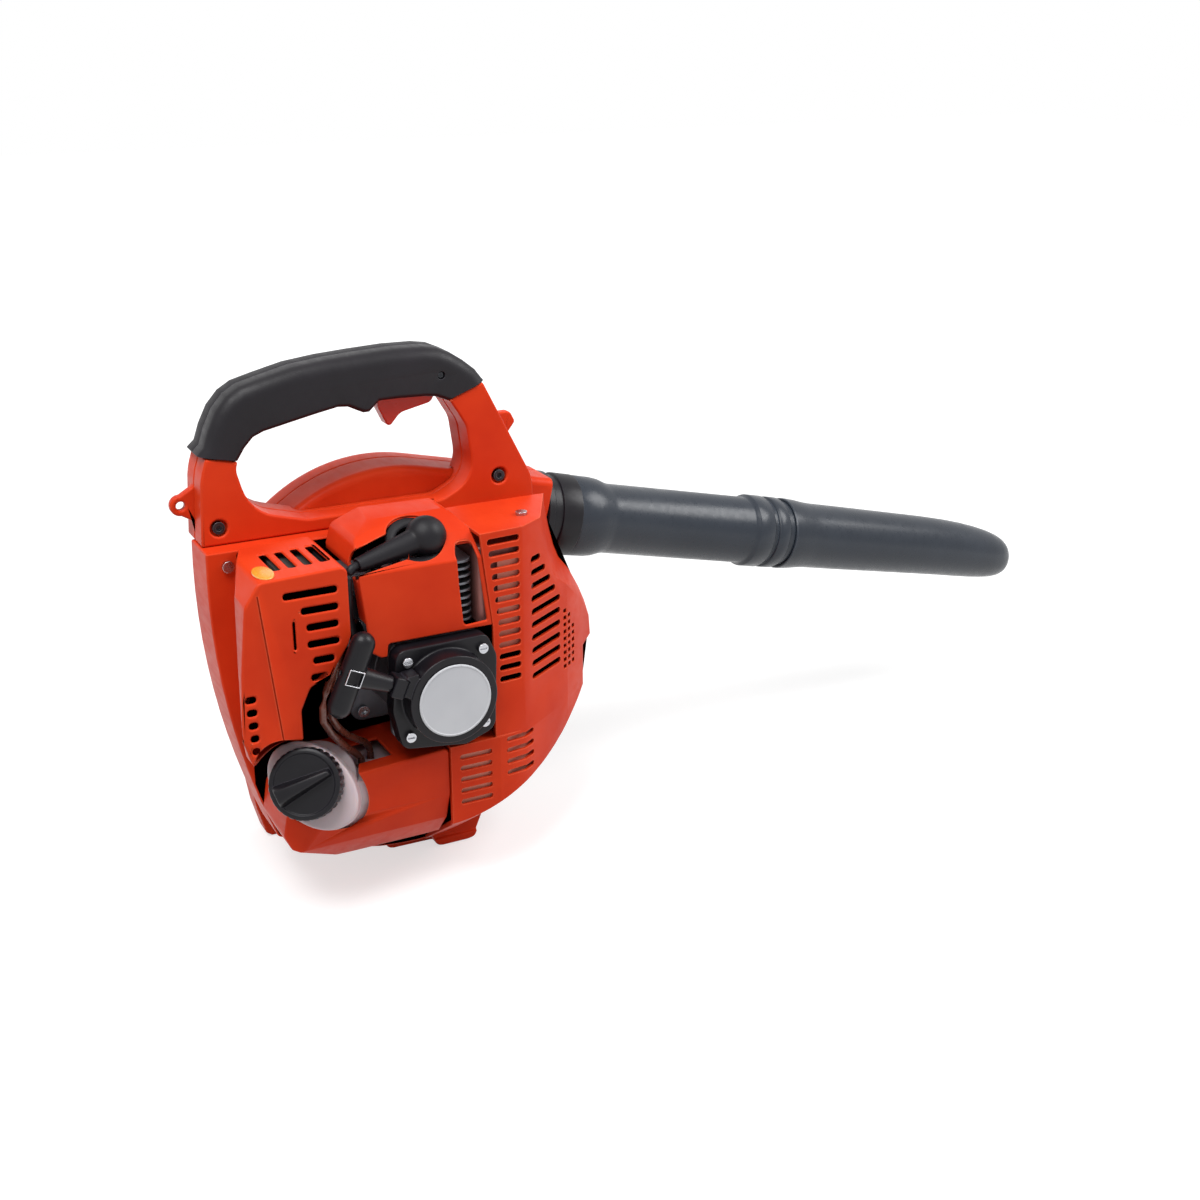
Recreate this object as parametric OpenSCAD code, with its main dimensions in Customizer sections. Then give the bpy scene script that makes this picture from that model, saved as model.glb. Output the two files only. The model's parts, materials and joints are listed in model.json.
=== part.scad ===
// Hand-held petrol leaf blower, built up from its separate parts.
// Millimetres. +X runs towards the nozzle, -Y is the engine and starter side,
// +Z is up. The origin lies on the floor, straight under the crank axis.

/* [Casing] */
// Height of the crank axis above the floor
axis_z = 158; // [154:1:162]
// Radius of the round fan guard about the crank axis
guard_r = 150; // [147:1:153]
// Wall of the moulded covers and casings
wall = 2.5; // [2:0.1:3]
// Gap left where two mouldings meet
seat = 0.3; // [0.2:0.05:0.4]
// Y of the front edge of the main case
case_y = -12; // [-14:0.5:-10]
// Depth of the main case along Y
case_depth = 37.7; // [37:0.1:38.5]
// X of the straight back of the machine
back_x = -135.5; // [-137:0.5:-134]
// Radius of the bowed back edge
back_r = 532; // [500:5:560]
// Height of the top edge of the main case
case_top_z = 254; // [252:1:256]
// Radius of the air inlet in the engine side
eye_r = 58; // [54:1:60]

/* [Fan duct] */
// Depth of the fan casing along Y
scroll_depth = 60; // [58:1:62]
// Radius of the first arc of the fan casing
scroll_r = 98; // [96:1:100]
// Growth in radius from one arc to the next
scroll_step = 12; // [10:1:13]
// Height of the square air duct
duct_h = 66; // [64:1:67]
// Distance from the crank axis to the duct's end
duct_end = 112; // [110:1:115]
// Downward pitch of the blow pipe in degrees
pipe_pitch = 12.8; // [11:0.2:15]
// Radius of the impeller
fan_r = 83; // [78:1:84]
// Number of impeller blades
fan_blades = 24; // [18:1:28]

/* [Blow pipe] */
// Outer radius of the blow pipe at the machine
pipe_r = 27.2; // [26.5:0.1:27.6]
// Wall of the blow pipes
pipe_wall = 2; // [1.6:0.1:2.2]
// Length of the first pipe beyond the outlet neck
pipe_len = 212; // [190:1:230]
// Length of the nozzle pipe that shows
nozzle_len = 249; // [230:1:270]
// Outer radius of the nozzle at its far end
nozzle_end_r = 20.5; // [19:0.5:22]
// Length over which one pipe slides into the next
pipe_lap = 26; // [22:1:30]

/* [Handle] */
// Width of the orange handle frame
handle_w = 36; // [34:1:38]
// Y of the handle's middle plane
handle_y = 20; // [19:0.5:21]
// Radius of the handle's screw heads
bolt_head_r = 4.2; // [3.8:0.1:4.6]
// Width of the throttle trigger
trigger_w = 12; // [10:0.5:14]
// Radius of the bore in the hanging eye
eyelet_r = 3; // [2.5:0.1:3.5]

/* [Engine] */
// Cylinder bore radius
bore_r = 17; // [16:0.25:17.5]
// Radius of the crank throw, half of the stroke
throw_r = 14; // [12:0.5:14.5]
// Radius of the crankshaft
shaft_r = 6; // [5:0.25:6.5]
// Outer radius of the crankcase
crankcase_r = 34; // [32:0.5:35]
// Y of the cylinder axis
cyl_y = -40; // [-41:0.5:-39]
// Number of cooling fins
fin_count = 9; // [7:1:10]
// Radius of the flywheel
flywheel_r = 40; // [36:0.5:41]
// Side of the square of starter screws
starter_square = 54; // [52:0.5:56]
// Running clearance of shafts and the piston
running = 0.05; // [0.03:0.01:0.08]

/* [Starter] */
// Radius of the blank disc on the starter
badge_r = 25.5; // [24:0.25:26]
// Radius of the rope reel
reel_r = 27; // [25:0.5:28]
// Radius of the starter rope
rope_r = 1.75; // [1.5:0.05:2]
// Length of the T-shaped pull handle
tee_len = 60; // [54:1:64]

/* [Fuel] */
// Outer radius of the fuel cap
cap_r = 24; // [23.5:0.5:26]
// Height of the fuel cap
cap_h = 20; // [18:0.5:22]
// Outer radius of the tank's threaded neck
neck_r = 19; // [17:0.5:20]
// Radius of the fuel hoses
hose_r = 2.6; // [2.2:0.1:3]

/* [Covers] */
// Y of the near face of the air cleaner box
box_y = -84; // [-85:0.5:-82]
// Y of the near face of the cylinder cover
cover_y = -77; // [-78:0.5:-76]
// Width of a cooling slot
slot_w = 4.6; // [4:0.1:5.2]
// Step from one cooling slot to the next
slot_step = 11; // [10.5:0.1:12]

/* [Hidden] */

$fn = 72;
arc_steps = 6;
bite = 1;                       // how far a cutter runs past a face
orange = "#c83c23";
black = "#24232a";
slate = "#3a3e46";
alloy = "#a9abb0";
steel = "#c4c5c8";
case_back_y = case_y + case_depth;
scroll_y = case_back_y + seat;
scroll_back_y = scroll_y + scroll_depth;
scroll_split_y = scroll_y + scroll_depth / 2;
scroll_mid_y = scroll_split_y;
duct_top = scroll_step / 2 + scroll_r + 2 * scroll_step;
duct_axis = duct_top - duct_h / 2;
back_bow_z = 225;
back_c = [back_x + back_r, back_bow_z];
back_low_a = 20.6;
guard_low_a = -115;
guard_top_a = -20;
guard_shoulder = [[141, 144], [147, 148], [146, 162], [142, 175], [137, 187], [129, 202], [121, 212], [117, 222],
    [113, 238], [110, case_top_z]];
case_outline = concat(
    arc(back_c, back_r, 180 - asin((case_top_z - back_bow_z) / back_r), 180 + back_low_a, 12),
    [[-88, 31], [-76, 25]],
    arc([0, axis_z], guard_r, guard_low_a, guard_top_a, 26),
    guard_shoulder);
shoulder_lean = 28;
flange_w = 23;
post_at = 35;
post_r = 6;
bolt_r = 2;
collar_r = 34.5;
mount_y = -8;                  // back face of the crankcase flange
scroll_round = 18;
neck_len = 22;
neck_out_r = 27.5;
foot_y0 = scroll_split_y + 4;
foot_y1 = scroll_back_y - 8;
handle_y0 = handle_y - handle_w / 2;
handle_y1 = handle_y + handle_w / 2;
handle_base_z = case_top_z + seat;
handle_outline = rounded([
    [back_x + 2, handle_base_z, 0], [-64, handle_base_z, 0], [30, handle_base_z, 0],
    [109, handle_base_z, 0], [107.5, 272, 24], [67.5, 351.5, 22], [38, 371.7, 26],
    [-60, 367, 80], [-113, 351, 24], [back_x + 5, 300, 60]]);
hand_hole = rounded([
    [-60, handle_base_z + 9, 10], [38, handle_base_z + 9, 16], [63, 276, 22],
    [58, 314, 20], [46, 334, 12], [30, 339, 12], [-5, 340, 4], [-14, 332, 4], [-30, 339.5, 16],
    [-91, 327, 16], [-107, 306, 12], [-99, 274, 30]]);
handle_bolt_at = [[-121, 266], [82, 275]];
boss_r = 8;
grip_wall = 3;
grip_grow = 1;
tongue_w = handle_w - 2 * (grip_wall - grip_grow + seat);
eyelet_c = [back_x - 5, 279];
grip_outer = inset(handle_outline, -grip_grow);
grip_hole = inset(hand_hole, grip_grow);
pin_r = 2;
trigger_pivot = [40, 352];
grip_screw_at = [-96, 342];
lever_pivot = [86, 303];
lever_y = handle_y1 + seat;
lever_w = 8;
lever_post_r = 3;
switch_w = 9;
switch_at = [66, 308];
switch_throw = 5;
joint_u = duct_end + neck_len + pipe_len;
tip_u = joint_u + nozzle_len;
neck_end = duct_end + neck_len;
ring_h = 5;
flare_len = 34;
pipe_lap_step = 0.9;              // step down in radius where one pipe enters the next
tip_len = 70;
sleeve_len = 40;
cover_back_y = case_y - seat;
shoulder_side = concat([[0, 0], [170, 0], [170, axis_z + guard_r * sin(guard_top_a)]],
    [for (p = concat([[guard_r * cos(guard_top_a), axis_z + guard_r * sin(guard_top_a)]], guard_shoulder,
        [[108, 300]])) [p.x * cos(shoulder_lean) - cover_back_y * sin(shoulder_lean), p.y]],
    [[0, 300]]);
cover_top_z = 262;
seam_low = [39.5, 194];
seam_top = [31, 262];
cover_left_x = seam_top.x;
cover_section = [[cover_left_x, cover_back_y + 6], [cover_left_x, -78], [64, -75], [112, -44],
    [149, cover_back_y], [149, cover_back_y + 6]];
low_cover_x = 5;
low_section = [[low_cover_x, cover_back_y + 6], [low_cover_x, -78], [42, -78], [64, -75],
    [112, -44], [149, cover_back_y], [149, cover_back_y + 6]];
cyl_cover_outline = rounded([[-48, 192, 4], [-41, 187, 3], [-36.6, 187, 0], [-35.6, 196, 2],
    [seam_low.x - seat, 196, 0], [seam_top.x - seat, seam_top.y, 0], [24, 271, 10],
    [-30, 272, 10], [-50, 264, 8], [-54, 250, 6]]);
fin_window = rounded([[18.5, 199, 3], [35.5, 200, 1], [28.5, 256, 4], [18, 256, 4], [15, 249, 4],
    [16, 228, 6]]);
plug_hole_at = [-7, -60, 262];
plug_hole_r = 19.5;
box_right_x = -63;
air_outline = rounded([[-99, 130, 5], [-99, 164, 8], [-92, 179, 6], [-78, 184, 6], [-65, 204, 5],
    [box_right_x, 210, 0], [box_right_x, 257, 5], [-121, 255, 6], [-131, 240, 8], [-136, 196, 40], [-139, 152, 10], [-133, 130, 6]]);
box_plan = [[-141, box_y - 6], [0, box_y - 6], [0, cover_back_y + 6], [-111, cover_back_y + 6]];
throat_z = 224;
throat_r = 8;
slot_from = [-106, -95, -92, -92, -89, -91];
slot_to = [-70.5, -70.5, -71, -71, -75, -80];
carb_x = [-62, -40];
boss_x = 31;
choke_at = [-51, throat_z];
case_front_end = -72;
cyl_base_z = axis_z + 30;
bearing_r = 13;
bearing_w = 8;
web_r = throw_r + 11;
fin_step = 5.2;
fin_z = 199;
bore_top = cyl_base_z + 51;
piston_top = cyl_base_z + 48;
piston_h = 24;
pin_z = piston_top - 14;
shaft_front = -80;
fan_y0 = scroll_y + wall + 4;
fan_back_y = scroll_back_y - wall - 8.5;
shaft_back = fan_back_y + 5.5;
coil_z = axis_z + flywheel_r + 0.6;
plug_base = [1, cyl_y - 6, bore_top + 9];
plug_lean = 45;
boot_at = 16;
boot_c = plug_base + boot_at * [0, -sin(plug_lean), cos(plug_lean)];
arm_to = [-51, -67, 250];
arm_v = arm_to - boot_c;
arm_u = arm_v / norm(arm_v);
lead_r = 3;
lead_route = [arm_to + arm_u * 0.8, [-56, -68.5, 248.2], [-58.8, -69.5, 241], [-58.8, -69.5, 230],
    [-58.5, -67, 218], [-55, -62, 204], [-49, -50, 192], [-39, -30, 190], [-41.5, -17, 200],
    [-40, -6, 210], [-29, 4, 215], [-17.4, 4, 215]];
starter_back_y = case_front_end - seat;
starter_plate_y = -86;
starter_front_y = -101.5;
starter_low_z = 116;
low_cover_top = starter_low_z - 4;
rope_y = -94;
pull_a = 204;
guide_c = [-37, 173];
tee_c = [-68, 186.8];
cap_at = [-106, -96, 118];
cap_lean = 66.4;
neck_root = cap_h + 34;
cap_roof = 10;
shoulder_r = 27;
neck_gap = cap_roof + 2.5;
cap_turned = -119.4;
shroud_outline = rounded([[-103, 46, 6], [-84, 24, 12], [-40, 10, 20], [low_cover_x - seat, 10, 0],
    [low_cover_x - seat, starter_low_z - 5, 4], [-74, 106, 6], [-107, 88, 10], [-111, 64, 8]]);
tank_outline = [[-99, 50], [-82, 29], [-39, 16], [-1, 16], [-1, 99], [-74, 99], [-103, 83], [-107, 65]];
belly = [[-76, 130], [-76, 76], [-68, 54], [-52, 36], [-32, 24], [cover_back_y, 15], [10, 15],
    [10, 130]];
shroud_plan = [[10, 12], [-120, 12], [-120, -56], [-84, -77], [10, -77]];
tank_back_y = cover_back_y - 3;
tank_gap = 0.6;
chin = [-40, -12, 13];
chin_tilt = [-8.7, 25.8, 0];
filter_at = [-44, -40, 42];
filter_h = 15;
grommet_at = [[-50, -50], [-40, -40]];
hose_from = [[-58.5, -50.5], [-44, -30.5]];
hose_drops = [[208.7, 206.6, 204.6], [208.7, 206.6, 204.6]];
hose_mids = [
    [[-61, -57, 196], [-70, -68, 184], [-80, -76, 170], [-83, -76, 150], [-68, -64, 126],
        [-56, -54, 112]],
    [[-46, -30, 198], [-50, -32, 190], [-60, -48, 184], [-71, -66, 168], [-75, -67, 148],
        [-60, -55, 126], [-44, -42, 112]]];
hose_ends = [
    [[-50, -48, 84], [-45.5, -42, 70], [-44, -40, filter_at.z + filter_h + 4],
        [-44, -40, filter_at.z + filter_h + 0.3]],
    [[-40, -40, 88]]];
hose_routes = [for (i = [0, 1]) concat(
    [for (z = hose_drops[i]) [hose_from[i].x, hose_from[i].y, z]], hose_mids[i],
    [for (z = [104, 97]) [grommet_at[i].x, grommet_at[i].y, z]], hose_ends[i])];
case_screw_at = [[-121, 244]];
top_screw_at = [74, -51];
mesh_x = 108;
mesh_step = 5.4;
mesh_hole = 3.2;
front_foot = rounded([[6, 34, 0], [17, 1, 5], [22, 0, 2], [42, 0, 2], [48, 1, 5], [62, 34, 0]]);
wide_foot = rounded([[-26, 30, 0], [-17, 1, 5], [-12, 0, 2], [34, 0, 0], [34, 30, 0]]);
wide_foot_y = -1.5;
toe_len = 2.5;
far_foot = rounded([[18, 92, 0], [28, 4, 4], [32, 0, 2], [52, 0, 2], [58, 6, 4], [76, 92, 0]]);
foot_cores = [[35, 4, 49, 48], [-88, 24, -70, 78]];
rear_foot = rounded([[-103, 66, 0], [-97, 26, 8], [-91, 3, 3], [-87, 0, 2], [-74, 0, 2], [-67, 10, 6],
    [-44, 90, 0], [-66, 120, 0]]);

// ---------------------------------------------------------------- outlines
function unit(v) = v / norm(v);
function arc(c, r, a0, a1, steps) =
    [for (i = [0 : steps]) let (a = a0 + (a1 - a0) * i / steps) c + r * [cos(a), sin(a)]];

// Rounds one corner p between its neighbours a and b with radius r.
function corner(a, p, b, r) =
    let (u = unit(a - p), v = unit(b - p), half = acos(u * v) / 2,
         c = p + unit(u + v) * r / sin(half),
         side = cross(p - a, b - p) > 0 ? 1 : -1,
         from = p + u * r / tan(half) - c, start = atan2(from.y, from.x),
         turn = side * (180 - 2 * half))
    [for (i = [0 : arc_steps]) let (t = start + turn * i / arc_steps) c + r * [cos(t), sin(t)]];

// Outline from points [x, y, corner radius].
function rounded(pts) =
    [for (i = [0 : len(pts) - 1])
        let (n = len(pts), a = pts[(i + n - 1) % n], p = pts[i], b = pts[(i + 1) % n])
        each (p.z == 0 ? [[p.x, p.y]]
            : corner([a.x, a.y], [p.x, p.y], [b.x, b.y], p.z))];

// Moves every edge of a counter-clockwise outline inwards by d.
function pushed(a, b, d) = let (m = unit([a.y - b.y, b.x - a.x]) * d) [a + m, b + m];
function meet(l, k) =
    let (p = l[0], r = l[1] - l[0], q = k[0], s = k[1] - k[0], x = cross(r, s))
    abs(x) < 0.0001 ? l[1] : p + r * cross(q - p, s) / x;
function inset(pts, d) =
    [for (i = [0 : len(pts) - 1])
        let (n = len(pts), a = pts[(i + n - 1) % n], p = pts[i], b = pts[(i + 1) % n])
        meet(pushed(a, p, d), pushed(p, b, d))];

// ----------------------------------------------------------------- placing
// Extrudes an outline drawn in X and Z from y0 to y1.
module along_y(y0, y1) {
    translate([0, y1, 0]) rotate([90, 0, 0]) linear_extrude(height = y1 - y0) children();
}

module crank_disc(y0, y1, r) {
    translate([0, y0, axis_z]) rotate([-90, 0, 0]) cylinder(h = y1 - y0, r = r);
}

module disc_y(x, z, y0, y1, r) {
    translate([x, y0, z]) rotate([-90, 0, 0]) cylinder(h = y1 - y0, r = r);
}

// Turns a profile of [radius, y] about the crank axis.
module crank_turned() {
    translate([0, 0, axis_z]) rotate([-90, 0, 0]) rotate_extrude() children();
}

module block(lo, hi) {
    translate(lo) cube(hi - lo);
}

module slot_y(x0, x1, z, y0, y1, w) {
    along_y(y0, y1) polygon(rounded([[x0, z - w / 2, w * 0.45], [x1, z - w / 2, w * 0.45],
        [x1, z + w / 2, w * 0.45], [x0, z + w / 2, w * 0.45]]));
}

// Frame of the blow pipe: X along the air stream, Z square to it.
module duct_frame() {
    translate([0, 0, axis_z]) rotate([0, pipe_pitch, 0]) children();
}

module on_pipe_axis(u) {
    duct_frame() translate([u, scroll_mid_y, duct_axis]) rotate([0, 90, 0]) children();
}

// --------------------------------------------------------------- main case
function back_x_at(z) = back_x + back_r - sqrt(back_r * back_r - pow(z - back_bow_z, 2));

module main_case() {
    color(orange) difference() {
        union() {
            along_y(case_y, case_back_y) difference() {
                union() {
                    polygon(case_outline);
                    polygon(front_foot);
                }
                polygon(inset(case_outline, wall));
            }
            difference() {
                along_y(case_back_y - wall, case_back_y) polygon(case_outline);
                crank_disc(case_back_y - wall - bite, case_back_y + bite, eye_r);
            }
            along_y(case_y, case_y + wall) intersection() {
                polygon(case_outline);
                translate([back_x - bite, 40]) square([flange_w, case_top_z - 40]);
            }
            along_y(wide_foot_y, case_back_y) polygon(wide_foot);
            along_y(case_y - toe_len, case_y + bite) intersection() {
                polygon(front_foot);
                translate([0, -bite]) square([80, 7]);
            }
            for (p = case_screw_at)
                disc_y(p.x, p.y, case_y, case_back_y - wall / 2, post_r - 1);
            for (a = [45, 135, 225, 315]) translate([0, 0, axis_z]) rotate([0, a, 0]) {
                translate([post_at * sqrt(2), mount_y + seat, 0]) rotate([-90, 0, 0])
                    cylinder(h = case_back_y - mount_y - seat, r = post_r);
                block([post_at * sqrt(2), case_back_y - wall, -post_r], [eye_r + 3, case_back_y, post_r]);
            }
        }
        for (x = [-1, 1], z = [-1, 1])
            disc_y(x * post_at, axis_z + z * post_at, mount_y, mount_y + 16, bolt_r + 0.1);
        for (p = case_screw_at)
            disc_y(p.x, p.y, case_y - bite, case_y + 14, bolt_r + 0.1);
        for (z = [60 : slot_step : 100])
            slot_y(84, 114 - (100 - z) * 0.4, z, case_back_y - wall - bite, case_back_y + bite, slot_w);
        on_pipe_axis(duct_end - 1) cylinder(h = 60, r = collar_r + 0.5);
    }
}

// --------------------------------------------------------------- fan casing

function scroll_profile(r, y0, y1, near, far) =
    rounded([[0, y0, 0], [r, y0, near], [r, y1, far], [0, y1, 0]]);

// Three quadrant arcs of growing radius, then the straight duct.
module scroll_body(grow, y0, y1, near, far, end) {
    h = scroll_step / 2;
    for (q = [[-h, -h, scroll_r, -90, 180], [-h, h, scroll_r + scroll_step, 90, 90],
            [h, h, scroll_r + 2 * scroll_step, 180, 90]])
        duct_frame() translate([q[0], 0, q[1]]) rotate([-90, 0, 0]) rotate([0, 0, q[3]])
            rotate_extrude(angle = q[4])
                polygon(scroll_profile(q[2] + grow, y0, y1, near, far));
    crank_disc(y0, y1, scroll_r - 2 * scroll_round);
    duct_frame() translate([h - 0.5, 0, 0]) rotate([90, 0, 90])
        linear_extrude(height = end - h + 0.5)
            polygon(rounded([[y0, duct_top - duct_h - grow, near],
                [y1, duct_top - duct_h - grow, far], [y1, duct_top + grow, far],
                [y0, duct_top + grow, near]]));
}

module scroll_shell(y0, y1) {
    difference() {
        intersection() {
            union() {
                scroll_body(0, scroll_y, scroll_back_y, 6, scroll_round, duct_end);
                on_pipe_axis(duct_end - 1) cylinder(h = neck_len + 1, r = neck_out_r);
            }
            block([-200, y0, -50], [300, y1, 400]);
        }
        scroll_body(-wall, scroll_y + wall, scroll_back_y - wall, 4, scroll_round - wall,
            duct_end - wall);
        on_pipe_axis(duct_end - 10) cylinder(h = 60, r = neck_out_r - wall);
    }
}

module fan_casing_inner() {
    color(orange) difference() {
        scroll_shell(scroll_y, scroll_split_y - seat / 2);
        crank_disc(scroll_y - bite, scroll_y + wall + bite, eye_r);
    }
}

module fan_casing_outer() {
    color(orange) {
        scroll_shell(scroll_split_y + seat / 2, scroll_back_y);
        difference() {
            for (foot = [far_foot, rear_foot])
                along_y(foot_y0, foot_y1) polygon(foot);
            scroll_body(-wall / 2, scroll_y, scroll_back_y, 4, 4, duct_end);
            for (core = foot_cores)
                block([core[0], foot_y0 - bite, core[1]], [core[2], foot_y1 - wall, core[3]]);
        }
        for (r = [34, 52, 70])
            crank_turned() translate([r, scroll_back_y - 0.5]) square([3, 1.7]);
    }
}

// ------------------------------------------------------------------ handle
// Outer side from the rear seat over the top to the front seat, then back along the inner side.

// Half plane that holds the black grip: above a line through both seams.
module grip_zone(shift) {
    polygon([[-160, 318 + shift], [-132, 315 + shift], [-104, 309 + shift], [-70, 300 + shift],
        [20, 324 + shift], [44, 333.5 + shift], [78, 346.5 + shift], [95, 353 + shift], [95, 420],
        [-160, 420]]);
}

// One half of the hollow frame; hollow from in0 to in1.
module handle_half(y0, y1, in0, in1) {
    difference() {
        union() {
            along_y(y0, y1) difference() {
                polygon(handle_outline);
                polygon(hand_hole);
                grip_zone(0);
            }
        }
        difference() {
            along_y(in0, in1) difference() {
                polygon(inset(handle_outline, wall));
                polygon(inset(hand_hole, -wall));
            }
            for (b = handle_bolt_at)
                disc_y(b.x, b.y, y0 - bite, y1 + bite, boss_r);
        }
        scroll_body(seat, scroll_y - seat, scroll_back_y, 6, scroll_round, duct_end);
        for (b = handle_bolt_at)
            disc_y(b.x, b.y, handle_y0 - bite, handle_y1 - 8, bolt_r + 0.1);
        for (b = handle_bolt_at)
            disc_y(b.x, b.y, handle_y0 - bite, handle_y0 + 4, bolt_head_r + 1.6);
    }
}

// Tongues that reach up inside the grip.
module tongues(y0, y1) {
    along_y(y0, y1) {
        polygon([[-125.5, 305], [-112, 305], [-104, 321], [-113.5, 327]]);
        polygon([[56, 331], [72, 331], [62, 349], [54, 346]]);
    }
}

module handle_frame_near() {
    color(orange) handle_half(handle_y0, handle_y - seat / 2, handle_y0 + wall, handle_y);
    color(orange) tongues(handle_y - tongue_w / 2, handle_y - seat / 2);
}

module handle_frame_far() {
    color(orange) difference() {
        union() {
            handle_half(handle_y + seat / 2, handle_y1, handle_y, handle_y1 - wall);
            tongues(handle_y + seat / 2, handle_y + tongue_w / 2);
            disc_y(eyelet_c.x, eyelet_c.y, handle_y + seat / 2, handle_y + 7, eyelet_r + 4);
            along_y(handle_y + seat / 2, handle_y + 7)
                polygon([[eyelet_c.x, eyelet_c.y - 7], [back_x + 10, eyelet_c.y - 16],
                    [back_x + 10, eyelet_c.y + 16], [eyelet_c.x, eyelet_c.y + 7]]);
            disc_y(lever_pivot.x, lever_pivot.y, handle_y1 - wall, lever_y + lever_w, lever_post_r);
            block([switch_at.x - 2, handle_y1 - 5, switch_at.y - 2],
                [switch_at.x + switch_w + 2, handle_y1 - wall / 2, switch_at.y + switch_w + switch_throw + 2.6]);
        }
        disc_y(eyelet_c.x, eyelet_c.y, handle_y - bite, handle_y + 8, eyelet_r);
        block([switch_at.x, handle_y1 - 2, switch_at.y],
            [switch_at.x + switch_w, handle_y1 + bite, switch_at.y + switch_w + switch_throw + 0.6]);
    }
}

module grip_half(y0, y1, in0, in1) {
    difference() {
        along_y(y0, y1) difference() {
            intersection() {
                polygon(grip_outer);
                grip_zone(seat);
            }
            polygon(grip_hole);
        }
        along_y(in0, in1) difference() {
            polygon(inset(grip_outer, grip_wall));
            polygon(inset(grip_hole, -grip_wall));
        }
        trigger_slot();
        disc_y(trigger_pivot.x, trigger_pivot.y, y0 - bite, y1 + bite, pin_r);
        disc_y(grip_screw_at.x, grip_screw_at.y, handle_y0 + 0.2, y1 + bite, 2);
    }
}

module trigger_slot() {
    block([-10, handle_y - trigger_w / 2 - 0.5, 312], [46, handle_y + trigger_w / 2 + 0.5, 349]);
}

module grip_near() {
    color(black) grip_half(handle_y0 - grip_grow, handle_y - seat / 2,
        handle_y0 - grip_grow + grip_wall, handle_y + bite);
}

module grip_far() {
    color(black) grip_half(handle_y + seat / 2, handle_y1 + grip_grow,
        handle_y - bite, handle_y1 + grip_grow - grip_wall);
}

module throttle_trigger() {
    color("#c8301c") difference() {
        along_y(handle_y - trigger_w / 2, handle_y + trigger_w / 2) {
            translate(trigger_pivot) circle(r = 5.5);
            polygon(rounded([[38, 357, 0], [34, 351, 0], [-3, 342, 2], [-2, 331, 2],
                [5, 316, 2.5], [14, 326, 10], [37, 331, 6], [45, 347, 0]]));
        }
        disc_y(trigger_pivot.x, trigger_pivot.y, handle_y - 20, handle_y + 20, pin_r + running);
    }
}

module trigger_pin() {
    color(steel) disc_y(trigger_pivot.x, trigger_pivot.y, handle_y0 + 0.5, handle_y1 - 0.5, pin_r - 0.01);
}

module speed_set_lever() {
    color(orange) difference() {
        along_y(lever_y, lever_y + lever_w) {
            translate(lever_pivot) circle(r = 8);
            polygon(rounded([[84, 296, 0], [104, 293, 3], [112, 303, 3], [108, 311, 4], [88, 311, 0]]));
        }
        disc_y(lever_pivot.x, lever_pivot.y, handle_y1, handle_y1 + 12, lever_post_r + running);
    }
}

module stop_switch() {
    color("#b52a1c") block([switch_at.x + seat, handle_y1 - 1.9, switch_at.y + seat],
        [switch_at.x + switch_w - seat, handle_y1 + 2.5, switch_at.y + switch_w + seat]);
}

module socket_screw(x, z, y0, len) {
    disc_y(x, z, y0, y0 + 3.4, bolt_head_r);
    disc_y(x, z, y0 + 3.3, y0 + len, 1.95);
}

module handle_bolts() {
    color("#5c5d63") for (b = handle_bolt_at)
        difference() {
            socket_screw(b.x, b.y, handle_y0 + 0.5, 22);
            disc_y(b.x, b.y, handle_y0, handle_y0 + 2.5, 2);
        }
}

module grip_screws() {
    color(steel) difference() {
        disc_y(grip_screw_at.x, grip_screw_at.y, handle_y0 + 0.5, handle_y1 + 0.6, 1.95);
        disc_y(grip_screw_at.x, grip_screw_at.y, handle_y1 - 1, handle_y1 + 1, 1);
    }
}

// --------------------------------------------------------------- blow pipe

module outlet_collar() {
    color(black) difference() {
        union() {
            on_pipe_axis(duct_end + seat) cylinder(h = neck_len + 8, r = neck_out_r + 4.5);
            for (u = [duct_end + 5, duct_end + 15])
                on_pipe_axis(u) cylinder(h = ring_h, r = neck_out_r + 6.5);
        }
        on_pipe_axis(duct_end) cylinder(h = neck_len + seat, r = neck_out_r + seat);
        on_pipe_axis(duct_end) cylinder(h = neck_len + 20, r = neck_out_r - 3);
        on_pipe_axis(neck_end + 2) cylinder(h = 20, r = pipe_r + running);
    }
}

module blow_pipe() {
    color(slate) difference() {
        union() {
            on_pipe_axis(neck_end + 2.3) cylinder(h = pipe_len - 2.3, r = pipe_r);
            on_pipe_axis(neck_end + 8 + 0.5) cylinder(h = flare_len, r1 = pipe_r + 3.6, r2 = pipe_r + 0.8);
            for (u = [joint_u - 22, joint_u - 12])
                on_pipe_axis(u) cylinder(h = 4, r = pipe_r + 1.5);
        }
        on_pipe_axis(neck_end) cylinder(h = pipe_len + 5, r = pipe_r - pipe_wall);
        on_pipe_axis(joint_u - pipe_lap - 0.3) cylinder(h = pipe_lap + 5, r = pipe_r - pipe_lap_step);
    }
}

// Nozzle wall as [radius, distance along the pipe axis], moved in by d.
function nozzle_side(d) = [
    [pipe_r - pipe_lap_step - running - d, joint_u - pipe_lap],
    [pipe_r - pipe_lap_step - running - d, joint_u + seat],
    [pipe_r - d, joint_u + seat + d], [pipe_r - d, joint_u + sleeve_len],
    [pipe_r - 1 - d, joint_u + sleeve_len], [nozzle_end_r + 2 - d, tip_u - tip_len],
    [nozzle_end_r - 3 - d, tip_u]];
function flipped(v) = [for (i = [len(v) - 1 : -1 : 0]) v[i]];

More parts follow.
